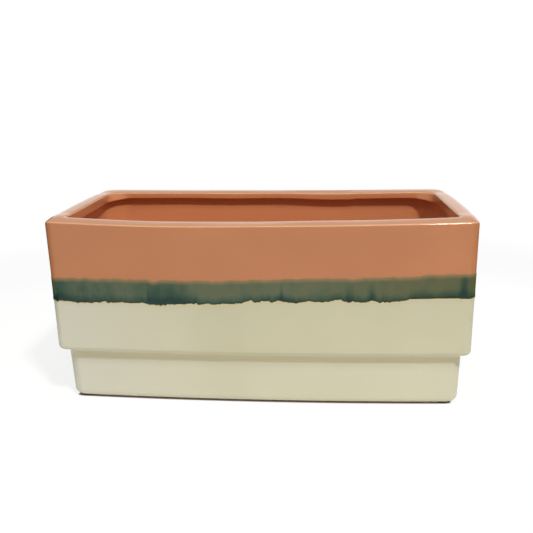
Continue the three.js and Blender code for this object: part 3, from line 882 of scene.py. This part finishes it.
def with_rows(rings):
    """Pairs of a ring and its bevel width, with plain rings added on long straight runs."""
    widths = [bevel_width(*rings[i - 1 : i + 2]) for i in range(1, len(rings) - 1)]
    widths = [0.0, *widths, 0.0]
    rows = [(rings[0], 0.0)]
    for i, (at, after) in enumerate(zip(rings, rings[1:])):
        run = math.dist(at[:2], after[:2])
        free = run - widths[i] - widths[i + 1]
        count = int(free / ROW_HEIGHT)
        for row in range(count):
            way = (widths[i] + free * (row + 0.5) / count) / run
            rows.append((between(at, after, way), 0.0))
        rows.append((after, widths[i + 1]))
    return rows


def extrude_ring(bm, edges):
    """Extrudes a closed ring of edges and returns the new ring."""
    made = bmesh.ops.extrude_edge_only(bm, edges=edges)["geom"]
    return [part for part in made if isinstance(part, bmesh.types.BMEdge) and part.is_boundary]


def sweep(bm, outline, rings):
    """Extrudes the outline through the rings and rounds them. Returns the first and last rings' edges."""
    core = bm.verts.layers.float_vector["core"]
    facing = bm.verts.layers.float_vector["facing"]
    level = bm.verts.layers.int.new("level")
    rows = with_rows(rings)
    edges = outline
    for number, (ring, _) in enumerate(rows, start=1):
        if number > 1:
            edges = extrude_ring(bm, edges)
        for vert in {vert for edge in edges for vert in edge.verts}:
            vert.co = ring_place(vert[core], vert[facing], ring)
            vert[level] = number
    for number, (_, width) in enumerate(rows, start=1):
        if width > 0:
            ring_edges = [edge for edge in bm.edges if all(vert[level] == number for vert in edge.verts)]
            round_off(bm, ring_edges, width, EDGE_SEGMENTS)
    ends = (1, len(rows))
    return [[edge for edge in bm.edges if all(vert[level] == end for vert in edge.verts)] for end in ends]


print("upper wall is cut into", len(with_rows([glazed["shoulder"], glazed["rim"]])), "rings")

# %% [markdown]
# ## Made by hand
#
# Slip-cast pots are fettled and dipped by hand, so no wall is quite flat and the trimmed lip wavers. A slow
# noise moves every vertex of the pot by a fraction of a millimetre, a second one lifts and drops the lower
# edge of the lip, and the front of the rim dips a little left of its middle. The rim's two ends are worn
# rounder, its long sides lean towards the front, and the foot stands a little to the right of the rim. All
# pieces of the pot use the same function, so the coats stay on the body.

# %% Unevenness
SWELL_SIZE = 75 * MM
SWELL = 0.22 * MM
LIP_WAVE_SIZE = 38 * MM
LIP_WAVE = 0.7 * MM
LIP_ZONE = 6 * MM
LEVEL_BELOW = 22 * MM
# Place along the back, half width and depth of the sags of the lip there
BACK_SAGS = ((60 * MM, 32 * MM, 1.5 * MM), (76 * MM, 3 * MM, -0.5 * MM))
DIP = 1.0 * MM
DIP_PLACE = -70 * MM
DIP_SPREAD = 55 * MM
DIP_FADE = 40 * MM
RIM_LEAN = math.tan(math.radians(2.8))
# The lean of the long rims ends this many rim widths inside their middle
RIM_LEAN_REACH = 1.5
END_WORN = 1.3 * MM
END_REACH = 4 * MM
WORN_DEPTH = 20 * MM
FOOT_SHIFT = 1.0 * MM
# The floor and its drain holes lie inside these half sizes and don't shift
SHIFT_FROM = (125 * MM, 50 * MM)
SHIFT_FADE = 8 * MM
# Vector noise starts from the clock unless it is given a seed, and each run has to give the same pot
HAND_SEED = 6
noise.seed_set(HAND_SEED)


def by_hand(co):
    """A point of the pot where casting, trimming and dipping left it. The floor and foot stay level."""
    free = clamp((co.z - LEVEL_BELOW) / LEVEL_BELOW)
    moved = co + noise.noise_vector(co / SWELL_SIZE) * SWELL * free
    near_lip = max(0.0, 1 - abs(co.z - LIP_LEVEL) / LIP_ZONE)
    if max(abs(co.x) / (LENGTH / 2 - WALL), abs(co.y) / (WIDTH / 2 - WALL)) < 1:
        moved.z += noise.noise(co / LIP_WAVE_SIZE) * LIP_WAVE * near_lip
        for sag, half_width, depth in BACK_SAGS:
            sagged = math.exp(-(((co.x - sag) / half_width) ** 2))
            moved.z -= depth * near_lip * clamp(co.y / DIP_FADE) * sagged
    middle = WIDTH / 2 - RIM_WIDTH / 2 - RIM_BOW * (2 * co.x / LENGTH) ** 2
    on_top = clamp((co.z - LIP_LEVEL) / LIP_ZONE)
    along_rim = clamp((abs(co.y) - middle) / RIM_WIDTH + RIM_LEAN_REACH)
    moved.z += RIM_LEAN * (co.y - math.copysign(middle, co.y)) * on_top * along_rim
    past_end = abs(co.x) - LENGTH / 2 + END_BOW * (2 * co.y / WIDTH) ** 2
    moved.z -= END_WORN * clamp(1 + past_end / END_REACH) ** 2 * clamp(1 - (HEIGHT - co.z) / WORN_DEPTH)
    in_wall = max(clamp((abs(aside) - start) / SHIFT_FADE) for aside, start in zip(co, SHIFT_FROM))
    moved.x += FOOT_SHIFT * in_wall * (1 - co.z / HEIGHT)
    on_front = clamp(-co.y / DIP_FADE)
    moved.z -= DIP * on_front * rise(co.z) ** 2 * math.exp(-(((co.x - DIP_PLACE) / DIP_SPREAD) ** 2))
    return moved


def shape_by_hand(bm):
    """Moves every vertex of a piece to where the handwork left it."""
    for vert in bm.verts:
        vert.co = by_hand(vert.co)


print("walls waver by up to about", in_mm(SWELL, 2), "mm and the lip by", in_mm(LIP_WAVE), "mm")

# %% From bmesh to a piece that rides on a body
SHARP_ANGLE = math.radians(42)
HELPER_LAYERS = ("core", "facing")
MILLILITRE = 1000 * MM**3


def make_piece(name, bm, material, body, slot, *nodes):
    """Turns a bmesh into a smooth-shaded piece that rides on a body and stands for CAD nodes."""
    for helper in HELPER_LAYERS:
        if helper in bm.verts.layers.float_vector:
            bm.verts.layers.float_vector.remove(bm.verts.layers.float_vector[helper])
    if "level" in bm.verts.layers.int:
        bm.verts.layers.int.remove(bm.verts.layers.int["level"])
    for face in bm.faces:
        face.smooth = True
    for edge in bm.edges:
        edge.smooth = edge.is_manifold and edge.calc_face_angle() < SHARP_ANGLE
    open_edges = sum(not edge.is_manifold for edge in bm.edges)
    millilitres = bm.calc_volume(signed=True) / MILLILITRE
    made = link_mesh(name, bm, material)
    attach(made, body)
    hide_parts(*nodes)
    print(f"{name}: {len(made.data.polygons)} faces, {millilitres:.1f} ml, {open_edges} open edges")


# %% [markdown]
# ## Drain holes
#
# The floor has two round holes. A face with holes in it is filled in one go: the outer loop and the two
# circles go to a triangle fill, which leaves the circles open for the walls of the holes.

# %% Floor with holes
DRAIN_STEPS = 48
DRAIN_RADIUS = 7 * MM
plug_boxes = {side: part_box(f"drain_plug_{side}") for side in ("left", "right")}
drain_places = [(low + high) / 2 for low, high in plug_boxes.values()]


def fill_with_drains(bm, loop, z, up):
    """Fills a flat loop round the drain holes. Returns the edges of each hole."""
    holes = []
    for place in drain_places:
        at = Matrix.Translation((place.x, place.y, z))
        circle = {"radius": DRAIN_RADIUS, "segments": DRAIN_STEPS, "matrix": at}
        made = bmesh.ops.create_circle(bm, cap_ends=False, **circle)
        holes.append(list(dict.fromkeys(edge for vert in made["verts"] for edge in vert.link_edges)))
    edges = loop + [edge for hole in holes for edge in hole]
    bmesh.ops.triangle_fill(bm, use_beauty=True, use_dissolve=False, edges=edges, normal=(0, 0, up))
    return holes


print("drain holes at x =", [in_mm(place.x) for place in drain_places], "mm")

# %% [markdown]
# ## Stoneware body
#
# Slip is poured into a plaster mould and drained, which leaves one even wall all the way from the hollow
# of the foot to the in-turned rim. Most of it is under glaze: only the foot ring and the underside show.

# %% Stoneware body
BODY_DEPTH = GLAZE + BOND
FLAT_FLOOR = 14 * MM
RING_EDGE = 0.8 * MM


def flat_floor(depth):
    """A last ring on the level floor, inside its round edge."""
    return inner_ring(FOOT_INSET + WALL + FLAT_FLOOR, FLOOR_LEVEL - depth, 0.0, depth)


bm = bmesh.new()
hollow_level = FOOT_LEVEL + FOOT_HOLLOW
ring_inset = FOOT_INSET + FOOT_RING
under_foot = [outer_ring(ring_inset, hollow_level), outer_ring(ring_inset, FOOT_LEVEL, RING_EDGE)]
path = [*under_foot, *section(BODY_DEPTH).values(), flat_floor(BODY_DEPTH)]
hollow_ring, floor_ring = sweep(bm, draw_outline(bm, *OUTLINE_STEPS), path)
lower_holes = fill_with_drains(bm, hollow_ring, hollow_level, -1)
upper_holes = fill_with_drains(bm, floor_ring, FLOOR_LEVEL - BODY_DEPTH, 1)
for lower, upper in zip(lower_holes, upper_holes):
    bmesh.ops.bridge_loops(bm, edges=lower + upper)
bmesh.ops.recalc_face_normals(bm, faces=bm.faces[:])
shape_by_hand(bm)
make_piece("stoneware", bm, stoneware, "pot", "bare_stoneware", "stoneware_body")

# %% [markdown]
# ## Inside glaze
#
# Glaze is poured in, swilled round and poured out, so the inside has one coat from under the rim to the
# floor. Its shown surface is swept first, and a solidify then gives it thickness on the side of the clay.

# %% Inside glaze
COATS_MEET = (0.2, 0.24)

bm = bmesh.new()
coat_ends = [between(glazed["lip_edge"], glazed["under_rim"], way) for way in COATS_MEET]
inner = [glazed[name] for name in ("under_rim", "ledge_back", "ledge_edge", "floor")]
path = [coat_ends[1], *inner, flat_floor(0)]
_, floor_ring = sweep(bm, draw_outline(bm, *OUTLINE_STEPS), path)
fill_with_drains(bm, floor_ring, FLOOR_LEVEL, 1)
bmesh.ops.recalc_face_normals(bm, faces=bm.faces[:])
bmesh.ops.reverse_faces(bm, faces=bm.faces[:])
bmesh.ops.solidify(bm, geom=bm.faces[:], thickness=GLAZE)
# The whole inside coat takes the brighter tone: painted bounce light inside the pot
bounce_layer = bm.verts.layers.float.new(POURED_AND_BOUNCE_LIT)
for vert in bm.verts:
    vert[bounce_layer] = 1.0
shape_by_hand(bm)
make_piece("inside_glaze", bm, terracotta, "pot", "terracotta_glaze", "inside_glaze_coat")

# %% [markdown]
# ## Rim glaze
#
# The rim is dipped upside down to the seam. The coat climbs the outside, goes over the rim and round its
# lip, where it meets the inside coat out of sight.

# %% Rim glaze
BAND_TOP = 98.6 * MM
BAND_BOTTOM = 81.4 * MM
SEAM = (BAND_TOP + BAND_BOTTOM) / 2
# A painted highlight, partly thin glaze, on edges near the top and fainter over the top itself, told by how
# far up their surface faces, from 0 to 1
EDGE_DEPTH = 2.2 * MM
EDGE_FACING = 0.68
EDGE_SPREAD = 0.3
TOP_HIGHLIGHT = 0.35
# On the side of the lip that faces the mouth, a share of the brighter inside tone lies over the dipped one:
# painted bounce light
BOUNCE_FACING = 0.7
LIP_BOUNCE = 0.5


def wall_ring(z, proud=0.0):
    """A ring of the leaning upper wall at a height, or one that stands a little proud of it."""
    inset = WALL_DRAFT * (HEIGHT - z) / (HEIGHT - SHOULDER_HEIGHT)
    return outer_ring(inset, z, depth=-proud)


def below_top(co):
    """How far a point lies under the top of the rim, which sags between the two ends."""
    return HEIGHT - RIM_SAG * max(0.0, 1 - (2 * co.x / LENGTH) ** 2) - co.z


bm = bmesh.new()
over_rim = [ring for name, ring in glazed.items() if name.startswith(("rim", "crown", "lip"))]
path = [wall_ring(SEAM + BOND / 2), *over_rim, coat_ends[0]]
sweep(bm, draw_outline(bm, *OUTLINE_STEPS), path)
bmesh.ops.recalc_face_normals(bm, faces=bm.faces[:])
# Painted highlight on edges that face partly up, fainter on the top, partly thin glaze
highlight_layer = bm.verts.layers.float.new(PAINTED_HIGHLIGHT_AND_THIN_GLAZE)
bounce_layer = bm.verts.layers.float.new(POURED_AND_BOUNCE_LIT)
for vert in bm.verts:
    if below_top(vert.co) < EDGE_DEPTH:
        on_edge = clamp(1 - abs(vert.normal.z - EDGE_FACING) / EDGE_SPREAD)
        on_top = clamp((vert.normal.z - EDGE_FACING) / EDGE_SPREAD)
        vert[highlight_layer] = max(on_edge, TOP_HIGHLIGHT * on_top)
    if vert.normal.x * vert.co.x + vert.normal.y * vert.co.y < 0:
        vert[bounce_layer] = LIP_BOUNCE * clamp((BOUNCE_FACING - vert.normal.z) / EDGE_SPREAD)
bmesh.ops.solidify(bm, geom=bm.faces[:], thickness=GLAZE)
shape_by_hand(bm)
make_piece("rim_glaze", bm, terracotta, "pot", "terracotta_glaze", "rim_glaze_coat")

# %% [markdown]
# ## Cream glaze
#
# The lower half is dipped the right way up. Glaze that reached the foot is wiped off with a sponge before
# firing, so the sweep starts under the foot and a cut with a level plane leaves the wiped line.

# %% Cream glaze
WIPED_HEIGHT = 0.5 * MM
WIPED_LINE = FOOT_LEVEL + WIPED_HEIGHT
UNDER_FOOT = 8 * MM

bm = bmesh.new()
lower = [glazed[name] for name in ("foot", "cove", "shoulder")]
path = [outer_ring(FOOT_INSET + UNDER_FOOT, FOOT_LEVEL), *lower, wall_ring(SEAM - BOND / 2)]
sweep(bm, draw_outline(bm, *OUTLINE_STEPS), path)
everything = [*bm.verts, *bm.edges, *bm.faces]
bmesh.ops.bisect_plane(bm, geom=everything, plane_co=(0, 0, WIPED_LINE), plane_no=(0, 0, 1), clear_inner=True)
bmesh.ops.recalc_face_normals(bm, faces=bm.faces[:])
bmesh.ops.solidify(bm, geom=bm.faces[:], thickness=GLAZE)
shape_by_hand(bm)
make_piece("cream_glaze", bm, cream, "pot", "cream_glaze", "cream_glaze_coat")

# %% [markdown]
# ## Teal band: where it runs
#
# The band was brushed on by eye, so it climbs a little from left to right, and its lower edge ran into
# drips: round lobes with sharp notches between them. On the front, the heights of the upper edge and the
# places of the notches are listed in millimetres. Round the ends and the back, seeded random numbers carry
# both on until they meet the front again.

# %% Outline of the band
BAND_OUTLINE = (20, 600, 240)
# Share of the girth from the middle of the right end, round the back and the left end, to the middle of the
# front. It is under three quarters because the rounder corners at the back cut the way short.
FRONT_SHARE = 0.7475
FRONT_END = 150.0

bm = bmesh.new()
first_ring = draw_outline(bm, *BAND_OUTLINE)
core = bm.verts.layers.float_vector["core"]
facing = bm.verts.layers.float_vector["facing"]
along = bm.verts.layers.float.new("along")
for vert in bm.verts:
    vert.co = ring_place(vert[core], vert[facing], wall_ring(SEAM))
in_order = sorted(bm.verts, key=lambda vert: math.atan2(vert.co.y, vert.co.x) % math.tau)
steps = [(after.co - vert.co).length / MM for vert, after in zip(in_order, in_order[1:] + in_order[:1])]
girth = sum(steps)
travelled = -FRONT_SHARE * girth
for vert, step in zip(in_order, steps):
    vert[along] = (travelled + FRONT_END) % girth - FRONT_END
    travelled += step
print("girth at the seam", round(girth, 1), "mm in", len(steps), "steps")

# %% Upper edge of the band
TOP_STEP = 25.0
FRONT_TOPS = (96.3, 96.7, 96.9, 96.7, 96.4, 96.8, 97.9, 98.6, 98.7, 99.1, 99.8, 100.9, 101.3)
# Place along the front, half width and depth of three small dips, in mm
TOP_DIPS = ((-72.5, 2.6, 0.9), (16.0, 3.0, 0.3), (88.0, 2.0, 0.4))
SCALLOP_SIZE = 8 * MM
SCALLOP_FINER = 2.6
SCALLOP = 0.8
AROUND_SIZE = 60 * MM
AROUND_WAVE = 2.0


def top_edge(place, at):
    """Height of the upper edge in mm, at a place along the girth and its point on the wall."""
    step = (place + FRONT_END) / TOP_STEP
    last = len(FRONT_TOPS) - 1
    before = min(int(step), last - 1)
    way = clamp(step - before)
    height = FRONT_TOPS[before] + (FRONT_TOPS[before + 1] - FRONT_TOPS[before]) * way * way * (3 - 2 * way)
    if step > last:
        round_back = (place - FRONT_END) / (girth - 2 * FRONT_END)
        height += (FRONT_TOPS[0] - FRONT_TOPS[last]) * round_back
        height += AROUND_WAVE * noise.noise(at / AROUND_SIZE) * math.sin(math.pi * round_back)
    for dip, half_width, depth in TOP_DIPS:
        height -= depth * math.exp(-(((place - dip) / half_width) ** 2))
    scallops = noise.noise(at / SCALLOP_SIZE) + noise.noise(SCALLOP_FINER * at / SCALLOP_SIZE) / 2
    return height + SCALLOP * scallops


print("upper edge climbs from", FRONT_TOPS[0], "to", FRONT_TOPS[-1], "mm along the front")

# %% Drips
# Place along the front and height of each notch, and depth of the drip that follows it, in mm
FRONT_NOTCHES = (
    (-150, 79.3, 0.3),
    (-142, 79.7, 0.5),
    (-136, 79.5, 1.3),
    (-109, 80.3, 0.9),
    (-97, 79.9, 0.9),
    (-82, 80.0, 1.4),
    (-63, 79.4, 0.6),
    (-50.5, 79.8, 0.4),
    (-43, 80.4, 0.9),
    (-35.5, 80.4, 0.6),
    (-25, 80.5, 0.6),
    (-14.5, 80.7, 0.8),
    (-3.8, 83.6, 1.6),
    (3, 82.8, 0.6),
    (8, 82.8, 1.2),
    (14.4, 83.2, 0.7),
    (26, 81.6, 0.8),
    (36.8, 83.2, 1.6),
    (53.8, 83.8, 0.1),
    (58.2, 83.7, 1.2),
    (66.8, 82.9, 1.6),
    (79.6, 83.7, 1.0),
    (86, 82.4, 1.0),
    (105, 83.9, 0.15),
    (125, 84.2, 0.1),
    (138, 84.1, 0.35),
    (150, 83.9, 0.6),
)
NOTCH_SPACING = (6.0, 24.0)
NOTCH_RAGGED = 0.5
DRIP_DEPTHS = (0.3, 1.4)
FRINGE = 1.5
FRINGE_SIZE = 3.2 * MM
FRONT_CALM = (104, 150)
CALM = 0.85
DRIP_SEED = 11

chance = random.Random(DRIP_SEED)
notches = list(FRONT_NOTCHES)
while notches[-1][0] < girth - FRONT_END - NOTCH_SPACING[1]:
    place = notches[-1][0] + chance.uniform(*NOTCH_SPACING)
    round_back = (place - FRONT_END) / (girth - 2 * FRONT_END)
    height = FRONT_NOTCHES[-1][1] + (FRONT_NOTCHES[0][1] - FRONT_NOTCHES[-1][1]) * round_back
    ragged = chance.uniform(-NOTCH_RAGGED, NOTCH_RAGGED)
    notches.append((place, height + ragged, chance.uniform(*DRIP_DEPTHS)))
notches.append((FRONT_NOTCHES[0][0] + girth, *FRONT_NOTCHES[0][1:]))
notch_places = [notch[0] for notch in notches]


def drip_edge(place, at):
    """Height of the lower edge in mm: a round drip between each notch and the next, with a finer fringe."""
    number = clamp(bisect.bisect_right(notch_places, place) - 1, 0, len(notches) - 2)
    here, after = notches[number], notches[number + 1]
    way = clamp((place - here[0]) / (after[0] - here[0]))
    lobe = math.sqrt(4 * way * (1 - way))
    calm = CALM if FRONT_CALM[0] < place < FRONT_CALM[1] else 0.0
    fringe = FRINGE * abs(noise.noise(at / FRINGE_SIZE)) * (1 - calm)
    return here[1] + (after[1] - here[1]) * way - here[2] * lobe - fringe


print(len(notches) - 1, "drips round the planter,", len(FRONT_NOTCHES) - 1, "of them on the front")

# %% Pools
# Pools on the front: place, half width to the left and to the right, added tone, and reach upwards, in mm
FRONT_POOLS = (
    (-144.5, 1.0, 10.0, 0.42, 12.0),
    (-94.0, 12.0, 11.0, -0.12, 60.0),
    (-77.8, 0.5, 15.0, 0.36, 14.0),
    (-72.0, 4.0, 16.0, 0.26, 6.0),
    (-58.0, 6.0, 8.0, 0.22, 14.0),
    (17.0, 1.4, 1.4, 0.36, 12.0),
    (19.0, 5.0, 8.0, 0.36, 4.0),
    (63.5, 2.5, 3.5, 0.54, 13.0),
    (79.0, 2.5, 3.0, 0.42, 11.0),
    (112.0, 14.0, 14.0, 0.14, 3.0),
    (142.0, 3.0, 3.0, 0.58, 19.0),
)
POOL_SPACING = 14 * MM
LOOSE_POOL = 0.5
LOOSE_FROM = 0.12
LOOSE_REACH = 6.0
LEFT_TONE = 0.2
LEFT_UNTIL = -45.0
LEFT_FADE = 12.0


def pooled_tone(place, at, above):
    """How much thicker the glaze lies at a place and a height above the drips, on top of its usual run."""
    tone = LEFT_TONE * clamp((LEFT_UNTIL - place) / LEFT_FADE) if abs(place) < FRONT_END else 0.0
    for middle, left, right, added, reach in FRONT_POOLS:
        aside = (place - middle) / (left if place < middle else right)
        tone += added * math.exp(-aside * aside) * math.exp(-((max(0.0, above) / reach) ** 2))
    loose = max(0.0, noise.noise(at / POOL_SPACING) - LOOSE_FROM)
    return tone + LOOSE_POOL * loose * math.exp(-max(0.0, above) / LOOSE_REACH)


print(len(FRONT_POOLS), "pools on the front")

# %% [markdown]
# ## Teal band: its mesh
#
# The band is a thin closed skin. Its outer face has many rows, close together at the edges, and it is
# thickest in a bead just above the drips, as surface tension leaves a run of glaze. At both edges it thins
# to a film, so that no step shows.

# %% Rows of the band
# Heights above the drips' edge, shares of the way between, and depths below the upper edge, in mm
ROWS_FROM_DRIPS = (-1.6, -1.0, -0.5, -0.12, 0.12, 0.4, 0.8, 1.3, 2.0, 3.0, 4.4)
ROWS_BETWEEN = (0.16, 0.32, 0.48, 0.64, 0.8, 0.92)
ROWS_FROM_TOP = (2.2, 1.5, 0.9, 0.4, 0.0, -0.4, -0.8)
# How far the band stands out from the coats, in mm
FILM = 0.07
BACK = 0.03
COAT = 0.16
BEAD = 0.3
BEAD_AT = 1.1
BEAD_FADE = 0.6
COAT_FADE = 1.5
BEAD_LEAST = 0.7


def row_height(row, low, high):
    """Height of a row of the band between its lower and upper edges."""
    if row < len(ROWS_FROM_DRIPS):
        return low + ROWS_FROM_DRIPS[row]
    row -= len(ROWS_FROM_DRIPS)
    if row < len(ROWS_BETWEEN):
        lowest = low + ROWS_FROM_DRIPS[-1]
        return lowest + (high - ROWS_FROM_TOP[0] - lowest) * ROWS_BETWEEN[row]
    return high - ROWS_FROM_TOP[row - len(ROWS_BETWEEN)]


def proud(above, below, tone):
    """How far the band stands out from the coats: a film at its edges and a bead above the drips."""
    into = max(0.0, above) / BEAD_AT
    bead = into * math.exp(1 - into)
    thin_out = clamp(min(above / BEAD_FADE, below / COAT_FADE))
    return FILM + (COAT + BEAD * bead * (BEAD_LEAST + tone)) * thin_out


row_count = len(ROWS_FROM_DRIPS) + len(ROWS_BETWEEN) + len(ROWS_FROM_TOP)
print("band has", row_count, "rows")

# %% Extrude the band row by row
marks = [bm.verts.layers.float.new(name) for name in (ABOVE_DRIPS, BELOW_TOP, POOLED)]


def shape_row(verts, row, lies_back):
    """Moves one ring of the band to its row, and marks its vertices for the material."""
    for vert in verts:
        place = vert[along]
        at = ring_place(vert[core], vert[facing], wall_ring(SEAM))
        low = drip_edge(place, at)
        high = top_edge(place, at)
        z = row_height(row, low, high)
        tone = pooled_tone(place, at, z - low)
        out = BACK if lies_back else proud(z - low, high - z, tone)
        vert.co = by_hand(ring_place(vert[core], vert[facing], wall_ring(z * MM, out * MM)))
        for mark, value in zip(marks, (z - low, high - z, tone)):
            vert[mark] = value


ring = first_ring
turns = [(row, False) for row in range(row_count)] + [(row_count - 1, True), (0, True)]
for number, (row, lies_back) in enumerate(turns):
    if number > 0:
        ring = extrude_ring(bm, ring)
    shape_row({vert for edge in ring for vert in edge.verts}, row, lies_back)
bmesh.ops.bridge_loops(bm, edges=first_ring + ring)
bmesh.ops.recalc_face_normals(bm, faces=bm.faces[:])
bm.verts.layers.float.remove(along)
make_piece("teal_band", bm, teal, "pot", "teal_glaze", "teal_glaze_band")

# %% [markdown]
# ## Drain plugs
#
# Each drain hole is closed by a moulded rubber stopper: a hollow, slightly tapered stem, a flange that lies
# on the floor and a grip to lift it by. It is a turned shape, so half its section is spun once round, and
# its sharp rings are bevelled as a mould would round them.

# %% Turned pieces
TURN_STEPS = 56
TURNED_EDGE_SEGMENTS = 3
CREASE = math.radians(35)
WELD = 0.001 * MM


def spin_round(profile, edge_radius):
    """A closed turned solid from its half section of radius and height, with its sharp rings rounded."""
    bm = bmesh.new()
    verts = [bm.verts.new((radius, 0, z)) for radius, z in profile]
    edges = [bm.edges.new(pair) for pair in zip(verts, verts[1:])]
    bmesh.ops.spin(
        bm,
        geom=verts + edges,
        cent=(0, 0, 0),
        axis=(0, 0, 1),
        angle=math.tau,
        steps=TURN_STEPS,
        use_merge=True,
    )
    bmesh.ops.remove_doubles(bm, verts=bm.verts[:], dist=WELD)
    bmesh.ops.recalc_face_normals(bm, faces=bm.faces[:])
    creased = [edge for edge in bm.edges if edge.calc_face_angle() > CREASE]
    round_off(bm, creased, edge_radius, TURNED_EDGE_SEGMENTS)
    return bm


# %% Drain plugs
PLUG_CLEARANCE = 0.3 * MM
PLUG_TAPER = 0.6 * MM
PLUG_FLANGE = 2.4 * MM
PLUG_GRIP_RADIUS = 4.5 * MM
PLUG_WAIST = 0.7 * MM
PLUG_CORE_RADIUS = 3.2 * MM
PLUG_CORE_DEPTH = 5 * MM
PLUG_EDGE = 0.5 * MM

for side, (low, high) in plug_boxes.items():
    stem = DRAIN_RADIUS - PLUG_CLEARANCE
    seat = FLOOR_LEVEL + PLUG_CLEARANCE
    flange = (high.x - low.x) / 2
    half_section = (
        (0, low.z + PLUG_CORE_DEPTH),
        (PLUG_CORE_RADIUS, low.z + PLUG_CORE_DEPTH),
        (PLUG_CORE_RADIUS, low.z),
        (stem - PLUG_TAPER, low.z),
        (stem, seat),
        (flange, seat),
        (flange - PLUG_EDGE, seat + PLUG_FLANGE),
        (PLUG_GRIP_RADIUS - PLUG_WAIST, seat + PLUG_FLANGE),
        (PLUG_GRIP_RADIUS, high.z),
        (0, high.z),
    )
    bm = spin_round(half_section, PLUG_EDGE)
    bmesh.ops.translate(bm, verts=bm.verts[:], vec=((low.x + high.x) / 2, (low.y + high.y) / 2, 0))
    make_piece(f"plug_{side}", bm, rubber, f"plug_{side}", "plug_rubber", f"drain_plug_{side}")

# %% [markdown]
# ## Foot pads
#
# Four self-adhesive felt dots keep the fired clay from scratching a sill. Each is punched from a sheet, so
# it is a disc with a soft, slightly ragged edge: a circle extruded to the sheet's thickness, bevelled, and
# then roughened by a fine noise that leaves its two flat faces flat.

# %% Foot pads
PAD_STEPS = 64
PAD_EDGE = 0.35 * MM
PAD_EDGE_SEGMENTS = 4
FUZZ_SIZE = 0.9 * MM
FUZZ = 0.12 * MM

for node in (f"foot_pad_{end}_{side}" for end in ("front", "back") for side in ("left", "right")):
    low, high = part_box(node)
    at = Matrix.Translation(((low.x + high.x) / 2, (low.y + high.y) / 2, low.z))
    bm = bmesh.new()
    bmesh.ops.create_circle(bm, cap_ends=True, radius=(high.x - low.x) / 2, segments=PAD_STEPS, matrix=at)
    raised = bmesh.ops.extrude_face_region(bm, geom=bm.faces[:], use_keep_orig=True)["geom"]
    top_verts = [part for part in raised if isinstance(part, bmesh.types.BMVert)]
    bmesh.ops.translate(bm, verts=top_verts, vec=(0, 0, high.z - low.z))
    bmesh.ops.recalc_face_normals(bm, faces=bm.faces[:])
    rims = [edge for edge in bm.edges if edge.calc_face_angle() > CREASE]
    round_off(bm, rims, PAD_EDGE, PAD_EDGE_SEGMENTS)
    for vert in bm.verts:
        ragged = noise.noise_vector(vert.co / FUZZ_SIZE) * FUZZ
        vert.co.x += ragged.x
        vert.co.y += ragged.y
    make_piece(node.replace("foot_pad", "felt"), bm, felt, "pot", "pad_felt", node)
